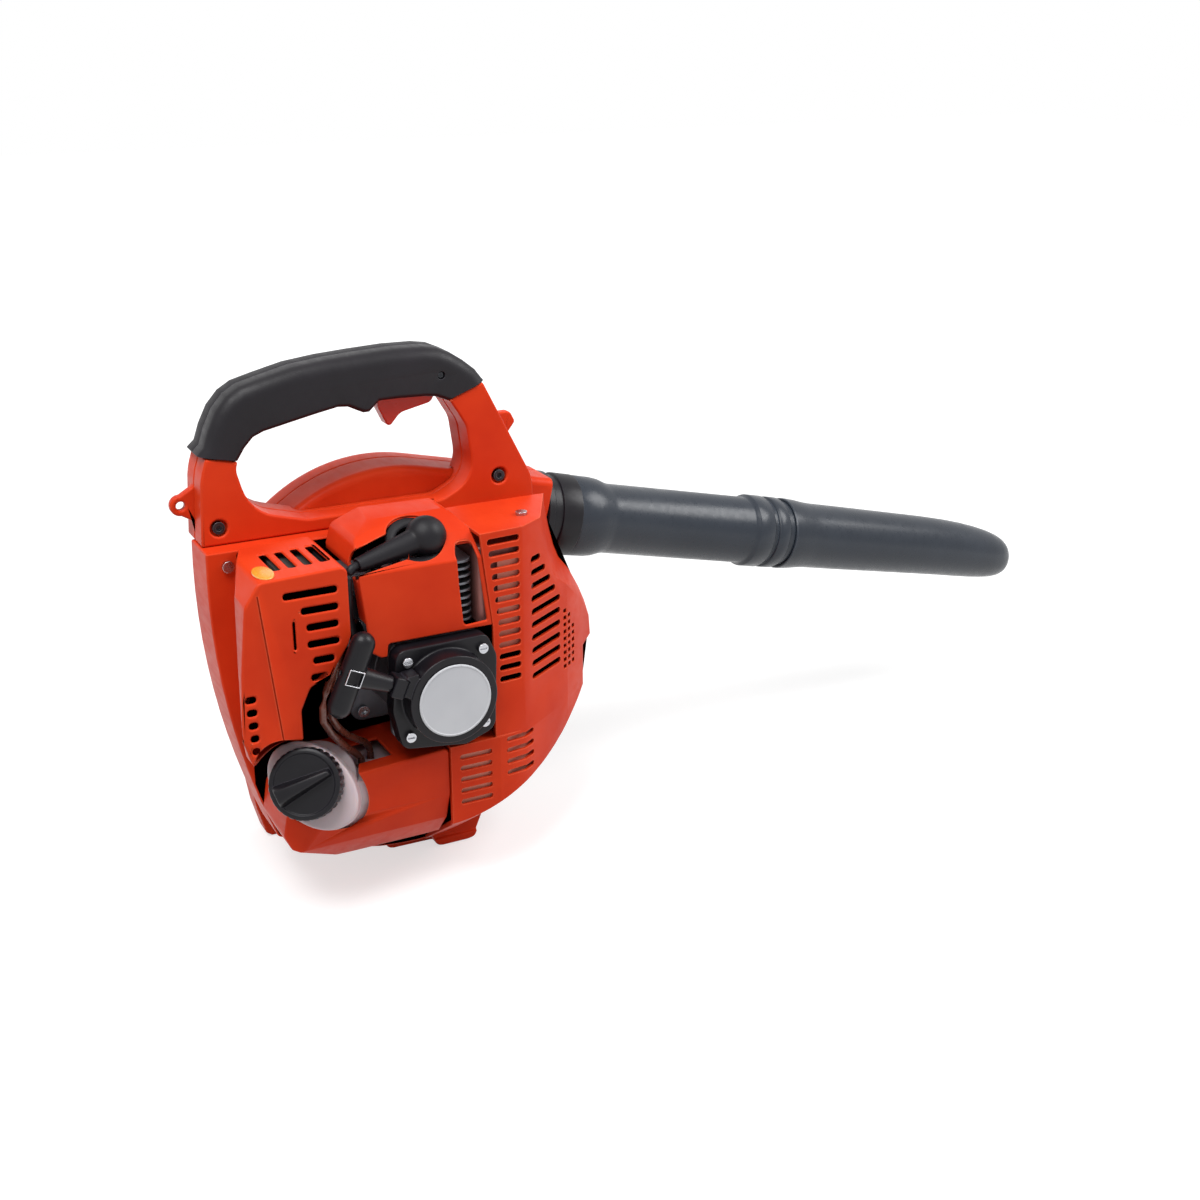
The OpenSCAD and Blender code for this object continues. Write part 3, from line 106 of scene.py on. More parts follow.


# the third colour of each finish is that of its paler edges, partly wear and partly painted highlight
FINISHES: dict[str, Finish] = {
    # injection-moulded ABS: even red-orange with faint, soft highlights, and paler edges that are partly
    # wear and partly painted highlight
    "orange_shell": Finish("#D03A18", "#C43113", "#EC6C48", Grain.PEEL, 0.38, grain_mm=6.0,
                           relief_mm=0.003, specular=0.09),
    # moulded acetal: a little darker and shinier than the shells, so controls stand out
    "red_control": Finish("#CE3018", "#BC2813", "#E86448", Grain.PEEL, 0.32, grain_mm=2.5, relief_mm=0.006,
                          specular=0.32),
    # soft-touch rubber over nylon: pebbled, with broad dull highlights
    "black_grip": Finish("#1A171C", "#131115", "#35323A", Grain.PEBBLE, 0.46, grain_mm=0.9, relief_mm=0.05,
                         specular=0.24),
    # moulded glass-filled nylon: near black, with a faint orange-peel sheen
    "black_plastic": Finish("#141217", "#0F0E12", "#302E35", Grain.PEEL, 0.36, grain_mm=2.0, relief_mm=0.01,
                            specular=0.24),
    # blow-moulded polyethylene: dark blue-grey, streaked lengthways, with one long highlight
    "slate_pipe": Finish("#262C35", "#20262F", "#59616C", Grain.STREAK, 0.30, grain_mm=1.6, relief_mm=0.015,
                         specular=0.35),
    # lacquered aluminium foil: flat pale silver
    "label_disc": Finish("#C2C3C7", "#B8B9BE", "#DADBDE", Grain.SATIN, 0.38, grain_mm=0.4, relief_mm=0.003,
                         specular=0.3),
    # natural polyethylene: milky and slightly see-through, with a warm tint
    "tank_plastic": Finish("#CDBDC0", "#B9A7AB", "#E9DFE1", Grain.PEEL, 0.40, grain_mm=2.4, relief_mm=0.02,
                           subsurface=0.25),
    # moulded rubber: matt and nearly black
    "black_rubber": Finish("#141217", "#0F0E12", "#2E2C33", Grain.PEBBLE, 0.48, grain_mm=0.6, relief_mm=0.03,
                           specular=0.24),
    # amber polyurethane tube: brown, glossy and partly clear
    "hose_rubber": Finish("#8A4A38", "#6E382B", "#B57B66", Grain.SATIN, 0.28, grain_mm=1.2, relief_mm=0.01,
                          transmission=0.35),
    # pressed felt: rough and without shine; its dark colour is painted shade, so the vents in front of it
    # read dark
    "filter_felt": Finish("#3B3A37", "#2C2B29", "#55534F", Grain.FELT, 0.95, grain_mm=0.5, relief_mm=0.12),
    # die-cast aluminium: grey with a fine sandy skin
    "cast_alloy": Finish("#74757B", "#5B5C62", "#A3A4AA", Grain.CAST, 0.48, metallic=0.85, grain_mm=0.8,
                         relief_mm=0.05),
    # zinc-plated steel: bright and turned
    "bright_steel": Finish("#B9BABF", "#A2A3A8", "#E0E0E4", Grain.MACHINED, 0.24, metallic=1.0, grain_mm=0.3,
                           relief_mm=0.008),
    # blackened steel: dark with a low metal shine
    "dark_steel": Finish("#35363A", "#28292C", "#5C5D62", Grain.MACHINED, 0.40, metallic=0.85, grain_mm=0.4,
                         relief_mm=0.01),
    # aluminised steel browned by heat: dull and reddish
    "muffler_steel": Finish("#9A6660", "#7C514D", "#C09A92", Grain.CAST, 0.50, metallic=0.6, grain_mm=1.1,
                            relief_mm=0.03),
    # glass-filled nylon of the fan: dark grey and even
    "fan_plastic": Finish("#34363B", "#2A2C30", "#56585E", Grain.PEEL, 0.50, grain_mm=1.6, relief_mm=0.02),
    # phenolic resin: dull dark brown
    "insulator": Finish("#3B2A24", "#2E211C", "#5E463D", Grain.CAST, 0.60, grain_mm=0.7, relief_mm=0.03),
    # braided polyester: pale and rough, drawn coarse enough for the braid to show
    "rope_fibre": Finish("#C9C3B4", "#A8A292", "#E2DDD0", Grain.BRAID, 0.85, grain_mm=1.4, relief_mm=0.15),
    # painted steel sheet: satin; its pale salmon colour is painted light, raised so that it reads bright in
    # the shade between the shells
    "heat_plate": Finish("#EFA58F", "#DC937E", "#F6C0B0", Grain.SATIN, 0.45, grain_mm=0.8, relief_mm=0.01,
                         specular=0.3),
    # moulded amber acrylic: warm and solid under a clear gloss
    "amber_insert": Finish("#D9932F", "#C07C22", "#F0BC6A", Grain.PEEL, 0.28, grain_mm=2.0, relief_mm=0.01,
                           coat=0.3, subsurface=0.1),
}


def linear(hex_colour: str) -> tuple[float, float, float, float]:
    """Scene-linear colour of an sRGB hex string.

    Args:
        hex_colour: colour as "#RRGGBB".

    Returns:
        Red, green, blue and an alpha of 1.
    """
    parts = [int(hex_colour[i:i + 2], 16) / 255 for i in (1, 3, 5)]
    return (*[c / 12.92 if c <= 0.04045 else ((c + 0.055) / 1.055) ** 2.4 for c in parts], 1.0)


def add_node(tree: bpy.types.NodeTree, kind: str, links: dict | None = None, **settings) -> bpy.types.Node:
    """Adds one shader node.

    Args:
        tree: node tree to add to.
        kind: node type without the "ShaderNode" prefix.
        links: input socket (name or index) to a value, or to a socket that feeds it.
        settings: properties of the node.

    Returns:
        The new node.
    """
    node = tree.nodes.new("ShaderNode" + kind)
    for name, value in settings.items():
        setattr(node, name, value)
    for socket, value in (links or {}).items():
        if isinstance(value, bpy.types.NodeSocket):
            tree.links.new(value, node.inputs[socket])
        else:
            node.inputs[socket].default_value = value
    return node


class Painter:
    """Builds one material for each finish, once."""

    ROUND_MM = 0.5  # radius that every edge is shaded round to
    WEAR_AND_HIGHLIGHT_MM = 1.3  # reach of the paler edges, partly wear and partly painted highlight along them
    WEAR_AND_HIGHLIGHT_FROM = 0.995  # cosine of the lean at which the paler edge starts
    WEAR_AND_HIGHLIGHT_FULL = 0.80  # cosine at which it is full
    WEAR_AND_HIGHLIGHT_MOST = 0.75  # share of the edge colour where it is full
    TONE_SPAN = (0.35, 0.65)  # noise values between which the tone turns
    SCUFF_MM = 5.0  # size of the patches of uneven gloss
    SCUFF_SPAN = (0.3, 0.7)  # noise values between which the gloss turns
    COAT_ROUGHNESS = 0.18
    DEPTH_MM = 2.5  # how deep light goes into a milky plastic
    DEPTH_RGB = (1.0, 0.35, 0.2)  # share of that depth for red, green and blue
    COLOUR_A = 6  # sockets of a Mix node that mixes colours
    COLOUR_B = 7
    COLOUR_OUT = 2

    def __init__(self) -> None:
        """Starts with no material made."""
        self.made: dict[str, bpy.types.Material] = {}

    def material(self, slot: str) -> bpy.types.Material:
        """Material of a slot.

        Args:
            slot: key of FINISHES.

        Returns:
            The material, made on first use.
        """
        if slot not in self.made:
            self.made[slot] = self._build(slot, FINISHES[slot])
        return self.made[slot]

    @staticmethod
    def _scaled(tree: bpy.types.NodeTree, stretch: Point = (1, 1, 1)) -> bpy.types.NodeSocket:
        """Object coordinates, stretched along the axes.

        Args:
            tree: node tree of the material.
            stretch: scale along X, Y and Z.

        Returns:
            The socket with the coordinates.
        """
        coord = add_node(tree, "TexCoord").outputs["Object"]
        if stretch == (1, 1, 1):
            return coord
        return add_node(tree, "Mapping", {"Vector": coord, "Scale": stretch}).outputs["Vector"]

    def _noise(self, tree: bpy.types.NodeTree, size_mm: float, detail: float,
               stretch: Point = (1, 1, 1)) -> bpy.types.NodeSocket:
        """Noise with blobs of a real size.

        Args:
            tree: node tree of the material.
            size_mm: width of a blob.
            detail: octaves of finer noise in it.
            stretch: scale along X, Y and Z.

        Returns:
            The socket with the noise.
        """
        return add_node(tree, "TexNoise", {"Vector": self._scaled(tree, stretch), "Scale": 1000 / size_mm,
                                           "Detail": detail, "Roughness": 0.55}).outputs["Fac"]

    def _height(self, tree: bpy.types.NodeTree, finish: Finish) -> bpy.types.NodeSocket:
        """Height pattern of the finish's grain.

        Args:
            tree: node tree of the material.
            finish: finish whose grain is drawn.

        Returns:
            The socket with the height.
        """
        size = finish.grain_mm
        if finish.grain is Grain.PEBBLE:
            cells = add_node(tree, "TexVoronoi", {"Vector": self._scaled(tree), "Scale": 1000 / size},
                             feature="SMOOTH_F1").outputs["Distance"]
            fine = self._noise(tree, size * 0.5, 3)
            return add_node(tree, "Math", {0: cells, 1: fine}, operation="ADD").outputs[0]
        if finish.grain is Grain.STREAK:
            return self._noise(tree, size, 4, (0.04, 1, 1))
        if finish.grain is Grain.MACHINED:
            return self._noise(tree, size, 3, (1, 0.15, 1))
        if finish.grain is Grain.BRAID:
            return add_node(tree, "TexWave", {"Vector": self._scaled(tree, (1, 1, 1.6)),
                                              "Scale": 160 / size, "Distortion": 1.5},
                            bands_direction="DIAGONAL").outputs["Fac"]
        detail = {Grain.PEEL: 5, Grain.CAST: 8, Grain.FELT: 8, Grain.SATIN: 3}[finish.grain]
        return self._noise(tree, size, detail)

    def _build(self, name: str, finish: Finish) -> bpy.types.Material:
        """Node tree of one finish: tone, paler edges that are partly wear and partly painted highlight,
        uneven gloss and relief.

        Args:
            name: name of the material.
            finish: finish to build.

        Returns:
            The new material.
        """
        material = bpy.data.materials.new(name)
        material.use_nodes = True
        tree = material.node_tree
        shader = tree.nodes["Principled BSDF"]
        rounded = add_node(tree, "Bevel", {"Radius": self.ROUND_MM * MM}, samples=4)
        # paler edge colour, partly wear and partly painted highlight, where the widely rounded normal leans
        # away from the true one
        wide = add_node(tree, "Bevel", {"Radius": self.WEAR_AND_HIGHLIGHT_MM * MM}, samples=4)
        flat = add_node(tree, "NewGeometry")
        facing = add_node(tree, "VectorMath", {0: wide.outputs["Normal"], 1: flat.outputs["Normal"]},
                          operation="DOT_PRODUCT").outputs["Value"]
        wear_and_highlight = add_node(tree, "MapRange", {"Value": facing, "From Min": self.WEAR_AND_HIGHLIGHT_FROM,
                                           "From Max": self.WEAR_AND_HIGHLIGHT_FULL, "To Min": 0.0,
                                           "To Max": self.WEAR_AND_HIGHLIGHT_MOST}).outputs["Result"]
        low, high = self.TONE_SPAN
        tone = add_node(tree, "MapRange", {"Value": self._noise(tree, finish.tone_mm, 3), "From Min": low,
                                           "From Max": high}).outputs["Result"]
        body = add_node(tree, "Mix", {"Factor": tone, self.COLOUR_A: linear(finish.colour),
                                      self.COLOUR_B: linear(finish.shade)}, data_type="RGBA")
        dressed = add_node(tree, "Mix", {"Factor": wear_and_highlight, self.COLOUR_A: body.outputs[self.COLOUR_OUT],
                                         self.COLOUR_B: linear(finish.edge)}, data_type="RGBA")
        tree.links.new(dressed.outputs[self.COLOUR_OUT], shader.inputs["Base Color"])
        low, high = self.SCUFF_SPAN
        scuffs = self._noise(tree, self.SCUFF_MM, 6, (1, 0.3, 1))
        gloss = add_node(tree, "MapRange", {"Value": scuffs, "From Min": low, "From Max": high,
                                            "To Min": finish.roughness - finish.spread,
                                            "To Max": finish.roughness + finish.spread}).outputs["Result"]
        tree.links.new(gloss, shader.inputs["Roughness"])
        bump = add_node(tree, "Bump", {"Height": self._height(tree, finish), "Strength": 0.6,
                                       "Distance": finish.relief_mm * MM,
                                       "Normal": rounded.outputs["Normal"]})
        tree.links.new(bump.outputs["Normal"], shader.inputs["Normal"])
        shader.inputs["Metallic"].default_value = finish.metallic
        shader.inputs["Specular IOR Level"].default_value = finish.specular
        shader.inputs["Coat Weight"].default_value = finish.coat
        shader.inputs["Coat Roughness"].default_value = self.COAT_ROUGHNESS
        shader.inputs["Transmission Weight"].default_value = finish.transmission
        if finish.subsurface:
            shader.inputs["Subsurface Weight"].default_value = finish.subsurface
            shader.inputs["Subsurface Radius"].default_value = self.DEPTH_RGB
            shader.inputs["Subsurface Scale"].default_value = self.DEPTH_MM * MM
        return material


painter = Painter()
slot_of: dict[str, str] = {row["node"]: row["material_slot"] for row in frame["record"]["subparts"]}
body_of: dict[str, str] = {node: body for body, nodes in frame["record"]["behaviour"]["bodies"].items()
                           for node in nodes}


# ------------------------------------------------------------------ modelling
def only(obj: bpy.types.Object) -> bpy.types.Object:
    """Makes obj the one selected and active object.

    Args:
        obj: object to select.

    Returns:
        The same object.
    """
    bpy.ops.object.select_all(action="DESELECT")
    obj.select_set(True)
    bpy.context.view_layer.objects.active = obj
    return obj


def applied(obj: bpy.types.Object, kind: str, **settings) -> bpy.types.Object:
    """Adds one modifier and applies it.

    Args:
        obj: mesh object.
        kind: modifier type.
        settings: properties of the modifier.

    Returns:
        The same object.
    """
    only(obj)
    modifier = obj.modifiers.new(kind.lower(), kind)
    for name, value in settings.items():
        setattr(modifier, name, value)
    bpy.ops.object.modifier_apply(modifier=modifier.name)
    return obj


def smoothed(obj: bpy.types.Object, angle_deg: float = 45) -> bpy.types.Object:
    """Shades obj smooth, with edges sharper than an angle left hard.

    Args:
        obj: mesh object.
        angle_deg: the angle.

    Returns:
        The same object.
    """
    only(obj)
    bpy.ops.object.shade_smooth_by_angle(angle=math.radians(angle_deg))
    return obj


def copied(name: str, *nodes: str, cuts: Sequence[tuple[str, float]] = ()) -> bpy.types.Object:
    """New object with the shape of CAD nodes.

    Args:
        name: name of the new object.
        nodes: CAD nodes to copy the meshes of.
        cuts: planes, as an axis and a place in millimetres, that flat faces are parted at, so that
            none of them runs round a hole.

    Returns:
        The joined copy, its doubled corners merged and its flat faces whole.
    """
    parts = []
    for node in nodes:
        part = bpy.data.objects.new(name, frame["nodes"][node].data.copy())
        bpy.context.scene.collection.objects.link(part)
        parts.append(part)
    only(parts[0])
    for part in parts[1:]:
        part.select_set(True)
    if len(parts) > 1:
        bpy.ops.object.join()
    obj = only(parts[0])
    bpy.ops.object.mode_set(mode="EDIT")
    bpy.ops.mesh.select_all(action="SELECT")
    bpy.ops.mesh.remove_doubles(threshold=0.00002)
    for axis, place in cuts:
        bpy.ops.mesh.select_all(action="SELECT")
        normal = Vector([float(axis == letter) for letter in "XYZ"])
        bpy.ops.mesh.bisect(plane_co=normal * place * MM, plane_no=normal)
        bpy.ops.mesh.mark_seam()
    bpy.ops.mesh.select_all(action="SELECT")
    bpy.ops.mesh.dissolve_limited(angle_limit=math.radians(1.5), delimit={"SEAM"})
    bpy.ops.object.mode_set(mode="OBJECT")
    return obj


def softened(name: str, *nodes: str, width_mm: float = 0.8, segments: int = 2,
             angle_deg: float = 36, cuts: Sequence[tuple[str, float]] = ()) -> bpy.types.Object:
    """Copy of CAD nodes with every hard edge rounded.

    Args:
        name: name of the new object.
        nodes: CAD nodes to copy.
        width_mm: width of the rounding.
        segments: faces across it.
        angle_deg: edges sharper than this are rounded.
        cuts: planes that flat faces are parted at.

    Returns:
        The rounded copy.
    """
    obj = copied(name, *nodes, cuts=cuts)
    applied(obj, "BEVEL", width=width_mm * MM, segments=segments, limit_method="ANGLE",
            angle_limit=math.radians(angle_deg), use_clamp_overlap=False, miter_outer="MITER_ARC")
    smoothed(obj, 50)
    return applied(obj, "WEIGHTED_NORMAL", mode="FACE_AREA", keep_sharp=True, weight=80)


def moulded(name: str, *nodes: str, voxel_mm: float = 0.7, rounds: int = 6,
            ball: tuple[Point, float] | None = None) -> bpy.types.Object:
    """Copy of CAD nodes grown into one soft moulded form.

    Args:
        name: name of the new object.
        nodes: CAD nodes to copy.
        voxel_mm: cell of the remesh.
        rounds: passes of smoothing.
        ball: middle and radius in millimetres of a ball that is fused in.

    Returns:
        The fused copy.
    """
    obj = copied(name, *nodes)
    if ball:
        middle, radius = ball
        bpy.ops.mesh.primitive_uv_sphere_add(segments=48, ring_count=24, radius=radius * MM,
                                             location=Vector(middle) * MM)
        bpy.ops.object.transform_apply(location=True)
        obj = joined(name, obj, bpy.context.object)
    applied(obj, "REMESH", mode="VOXEL", voxel_size=voxel_mm * MM)
    applied(obj, "SMOOTH", factor=0.5, iterations=rounds)
    only(obj)
    bpy.ops.object.shade_smooth()
    return obj


def settle(obj: bpy.types.Object, place: Matrix) -> bpy.types.Object:
    """Moves a mesh modelled in millimetres to its place in metres.

    Args:
        obj: object at the origin.
        place: frame of the piece, in millimetres.

    Returns:
        The same object, with its place in its mesh.
    """
    obj.data.transform(Matrix.Scale(MM, 4) @ place)
    return obj


def turned(name: str, stations: Sequence[tuple[float, float]], sides: int = 96) -> bpy.types.Object:
    """Turns a profile about Z by drawing a ring from station to station.

    Args:
        name: name of the new object.
        stations: radius and height of each ring; a profile that ends on its first ring is hollow.
        sides: corners of a ring.

    Returns:
        The turned object, in the units of the stations.
    """
    radius, height = stations[0]
    hollow = stations[0] == stations[-1]
    bpy.ops.mesh.primitive_circle_add(vertices=sides, radius=radius, location=(0, 0, height),
                                      fill_type="NOTHING" if hollow else "NGON")
    obj = bpy.context.object
    obj.name = name
    bpy.ops.object.transform_apply(location=True)
    bpy.ops.object.mode_set(mode="EDIT")
    bpy.ops.mesh.select_all(action="SELECT")
    for new_radius, new_height in stations[1:]:
        bpy.ops.mesh.extrude_region_move(TRANSFORM_OT_translate={"value": (0, 0, new_height - height)})
        factor = new_radius / radius
        bpy.ops.transform.resize(value=(factor, factor, 1), center_override=(0, 0, new_height))
        radius, height = new_radius, new_height
    bpy.ops.mesh.select_all(action="SELECT")
    bpy.ops.mesh.remove_doubles(threshold=0.0001)
    bpy.ops.mesh.normals_make_consistent(inside=False)
    bpy.ops.object.mode_set(mode="OBJECT")
    return obj


def box(name: str, low: Point, high: Point) -> bpy.types.Object:
    """Block between two corners, in millimetres, to be cut with or worked on.

    Args:
        name: name of the new object.
        low: its lowest corner.
        high: its highest corner.

    Returns:
        The block.
    """
    centre = [(a + b) / 2 for a, b in zip(low, high)]
    bpy.ops.mesh.primitive_cube_add(size=1, location=centre)
    obj = bpy.context.object
    obj.name = name
    obj.scale = [b - a for a, b in zip(low, high)]
    bpy.ops.object.transform_apply(location=True, scale=True)
    return obj


def carved(obj: bpy.types.Object, *tools: bpy.types.Object) -> bpy.types.Object:
    """Cuts tools out of obj and removes them.

    Args:
        obj: object to cut.
        tools: objects to take away.

    Returns:
        The same object.
    """
    for tool in tools:
        applied(obj, "BOOLEAN", object=tool, operation="DIFFERENCE", solver="MANIFOLD")
        bpy.data.objects.remove(tool)
    return obj


def plate(name: str, outline: Sequence[tuple[float, float]], y0: float, y1: float) -> bpy.types.Object:
    """Plate with an outline in X and Z, between two depths.

    Args:
        name: name of the new object.
        outline: corners, in millimetres.
        y0: near depth.
        y1: far depth.

    Returns:
        The closed plate, in millimetres.
    """
    mesh = bpy.data.meshes.new(name)
    mesh.from_pydata([(x, y0, z) for x, z in outline], [], [list(range(len(outline)))])
    obj = bpy.data.objects.new(name, mesh)
    bpy.context.scene.collection.objects.link(obj)
    only(obj)
    bpy.ops.object.mode_set(mode="EDIT")
    bpy.ops.mesh.select_all(action="SELECT")
    bpy.ops.mesh.extrude_region_move(TRANSFORM_OT_translate={"value": (0, y1 - y0, 0)})
    bpy.ops.mesh.select_all(action="SELECT")
    bpy.ops.mesh.normals_make_consistent(inside=False)
    bpy.ops.object.mode_set(mode="OBJECT")
    return obj


def joined(name: str, *parts: bpy.types.Object) -> bpy.types.Object:
    """Joins meshes into one object.

    Args:
        name: name of the joined object.
        parts: objects to join, the first of which takes in the rest.

    Returns:
        The joined object.
    """
    only(parts[0])
    for part in parts[1:]:
        part.select_set(True)
    bpy.ops.object.join()
    parts[0].name = name
    return parts[0]


def frame_at(point: Point, *turns: tuple[float, str]) -> Matrix:
    """Place at a point, turned about axes in the order written.

    Args:
        point: origin of the frame, in millimetres.
        turns: angles in degrees, each with its axis.

    Returns:
        The frame as a matrix.
    """
    matrix = Matrix.Translation(point)
    for angle, axis in turns:
        matrix = matrix @ Matrix.Rotation(math.radians(angle), 4, axis)
    return matrix


def hand_in(obj: bpy.types.Object, *nodes: str, slot: str | None = None, body: str | None = None,
            extra: bool = False) -> bpy.types.Object:
    """Finishes a piece: its material, body and the CAD nodes that it stands for.

    Args:
        obj: finished mesh, in metres, at the origin.
        nodes: CAD nodes; the first gives the slot and body that aren't stated.
        slot: material slot.
        body: CAD body that it rides on.
        extra: the nodes stay shown, and the piece is added to them.

    Returns:
        The same object.
    """
    slot = slot or slot_of[nodes[0]]
    body = body or body_of[nodes[0]]
    obj.data.materials.clear()
    obj.data.materials.append(painter.material(slot))
    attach(obj, body)
    if nodes and not extra:
        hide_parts(*nodes)
    log.info("piece %s: %d faces, on %s, %s", obj.name, len(obj.data.polygons), body, slot)
    return obj


def paint(*nodes: str, finish: str | None = None) -> None:
    """Gives CAD nodes that stay shown a material.

    Args:
        nodes: CAD nodes.
        finish: finish to use in place of that of the node's own slot.
    """
    for node in nodes:
        obj = frame["nodes"][node]
        name = finish or slot_of[node]
        for slot in obj.material_slots:
            slot.material = painter.material(name)
        if not obj.material_slots:
            obj.data.materials.append(painter.material(name))
        log.info("node %s: %s", node, name)


# --------------------------------------------------------------- sub-assemblies
class Assembly(Protocol):
    """What main() builds."""

    def build(self) -> None:
        """Makes every piece of the sub-assembly."""


@dataclass
class Housing:
    """Round case and the two halves of the fan casing."""

    edge_mm: float = 1.3

    def build(self) -> None:
        """Rounds the moulded shells."""
        for node in ("main_case", "fan_casing_inner", "fan_casing_outer"):
            hand_in(softened(node + "_shell", node, width_mm=self.edge_mm, segments=3), node)


@dataclass
class Handle:
    """Arched handle with its grip, trigger and levers."""

    edge_mm: float = 1.7
    middle_y: float = 20.0
    width: float = 38.0
    outer_radius: float = 10.0
    inner_radius: float = 3.6
    end_radius: float = 0.5
    blade_slot_x: tuple[float, float] = (-10.0, 46.0)
    blade_slot_z: tuple[float, float] = (300.0, 357.0)
    blade_slot_half: float = 6.5
    pivot: tuple[float, float] = (40.0, 352.0)
    well_r: float = 2.7
    well_long: float = 5.0
    well_in: float = 1.0
    parting: float = 0.25
    lip: float = 0.35

    CUTS = [("X", -140.5), ("X", -132.0), ("X", -121.0), ("X", -96.0), ("X", -30.0), ("X", 40.0),
            ("X", 82.0), ("Z", 300.0)]
    OUTER = [(-132.5, 317), (-128.4, 309.8), (-125.4, 320), (-121.6, 331), (-115.5, 343), (-107.5, 352),
             (-98.5, 357.5), (-84, 361.4), (-62.5, 366.6), (-40, 369.3), (-17.5, 370.8), (8, 372),
             (29.5, 371.6), (40, 370), (49.5, 365.8), (59, 359.5), (67.5, 352.5), (71.8, 346.6),
             (73.4, 344.6)]
    INNER = [(44.2, 333.6), (36, 337), (28, 338), (9, 338.7), (-4.8, 338.6), (-8.8, 335), (-12.2, 331.9),
             (-16.4, 331.8), (-21, 334), (-27, 337), (-34, 337.6), (-50, 334.6), (-70, 330.4), (-86, 327),
             (-93, 324), (-99, 317.6), (-104.2, 309.6)]

    def grip(self) -> None:
        """Models the black grip and parts it into its two halves."""
        outline = [(-130.4, 315.2)] + self.OUTER[2:] + self.INNER
        half = self.width / 2
        grip = plate("grip", outline, self.middle_y - half, self.middle_y + half)
        outer = len(self.OUTER) - 2
        weights = grip.data.attributes.new("bevel_weight_edge", "FLOAT", "EDGE")
        for edge in grip.data.edges:
            a, b = (grip.data.vertices[i].co for i in edge.vertices)
            if abs(a.y - b.y) > 1:  # runs across the grip and stays sharp
                continue
            ends = {self._corner(outline, a), self._corner(outline, b)}
            if ends in ({0, len(outline) - 1}, {outer, outer + 1}):
                weights.data[edge.index].value = self.end_radius / self.outer_radius
            elif max(ends) <= outer:
                weights.data[edge.index].value = 1.0
            else:
                weights.data[edge.index].value = self.inner_radius / self.outer_radius
        applied(grip, "BEVEL", width=self.outer_radius, segments=7, limit_method="WEIGHT",
                use_clamp_overlap=False, loop_slide=True)
        (x0, x1), (z0, z1) = self.blade_slot_x, self.blade_slot_z
        slot = box("slot", (x0, self.middle_y - self.blade_slot_half, z0),
                   (x1, self.middle_y + self.blade_slot_half, z1))
        x, z = self.pivot
        bpy.ops.mesh.primitive_cylinder_add(vertices=48, radius=self.well_r, depth=self.well_long,
                                            location=(x, self.middle_y - half + self.well_in, z),
                                            rotation=(math.pi / 2, 0, 0))
        well = bpy.context.object
        bpy.ops.object.transform_apply(location=True, rotation=True)
        carved(grip, slot, well)
        for side, node in ((-1, "grip_near"), (1, "grip_far")):
            part = bpy.data.objects.new(node + "_skin", grip.data.copy())
            bpy.context.scene.collection.objects.link(part)
            only(part)
            bpy.ops.object.mode_set(mode="EDIT")
            bpy.ops.mesh.select_all(action="SELECT")
            bpy.ops.mesh.bisect(plane_co=(0, self.middle_y + side * self.parting / 2, 0),
                                plane_no=(0, side, 0), clear_inner=True, use_fill=True)
            bpy.ops.object.mode_set(mode="OBJECT")
            applied(part, "BEVEL", width=self.lip, segments=2, limit_method="ANGLE",
                    angle_limit=math.radians(60), use_clamp_overlap=False)
            settle(smoothed(part, 42), Matrix())
            hand_in(part, node)
        bpy.data.objects.remove(grip)

    @staticmethod
    def _corner(outline: Sequence[tuple[float, float]], point: Vector) -> int:
        """Index of the outline corner at a point."""
        return min(range(len(outline)), key=lambda i: math.dist(outline[i], (point.x, point.z)))

    def build(self) -> None:
        """Builds the handle."""
        for node in ("handle_frame_near", "handle_frame_far"):
            shell = softened(node + "_shell", node, width_mm=self.edge_mm, segments=4, angle_deg=38,
                             cuts=self.CUTS)
            hand_in(shell, node)
        self.grip()
        hand_in(softened("trigger_blade", "throttle_trigger", width_mm=1.4, segments=3), "throttle_trigger")
        hand_in(softened("speed_lever_tab", "speed_set_lever", width_mm=1.2, segments=3), "speed_set_lever")
        hand_in(softened("switch_button", "stop_switch", width_mm=0.5), "stop_switch")
        paint("trigger_pin", "grip_screws", finish="dark_steel")
        paint("handle_bolts")


@dataclass
class AirCleaner:
    """Box over the air filter, with its vents and amber insert."""

    edge_mm: float = 1.6
    face_y: float = -84.0
    insert_at: Point = (-113.2, -68.0, 255.0)
    insert_lean: float = -3.0
    insert_stretch: float = 2.0
    seam: tuple[tuple[float, float], ...] = ((-122.3, 246.5), (-112.3, 145.0))
    seam_half: float = 0.5
    seam_out: float = 1.5
    seam_deep: float = 0.9

    INSERT = [(0.5, 0), (6.0, 0), (6.5, 0.4), (6.3, 1.0), (5.4, 1.3), (0.5, 1.5)]

    def build(self) -> None:
        """Rounds the box, then cuts its parting groove and sets the insert in."""
        cover = softened("air_box", "air_cleaner_cover", width_mm=self.edge_mm, segments=3)
        left = [(x - self.seam_half, z) for x, z in self.seam]
        right = [(x + self.seam_half, z) for x, z in reversed(self.seam)]
        groove = plate("groove", left + right, self.face_y - self.seam_out, self.face_y + self.seam_deep)
        settle(groove, Matrix())
        carved(cover, groove, FuelSystem().room())
        smoothed(cover, 40)
        hand_in(cover, "air_cleaner_cover")
        insert = turned("amber_insert", self.INSERT, 48)
        place = frame_at(self.insert_at, (self.insert_lean, "Y"))
        settle(insert, place @ Matrix.Diagonal((1, self.insert_stretch, 1, 1)))
        hand_in(smoothed(insert), "air_cleaner_cover", slot="amber_insert", extra=True)
        # the filter's felt is dark as painted shade behind the vents
        paint("air_cleaner_base", "air_filter")


@dataclass(frozen=True)
class Plate:
    """Sheet behind a row of slots: its middle, width, height and turn about Z."""

    at: Point
    width: float
    height: float
    turn_deg: float


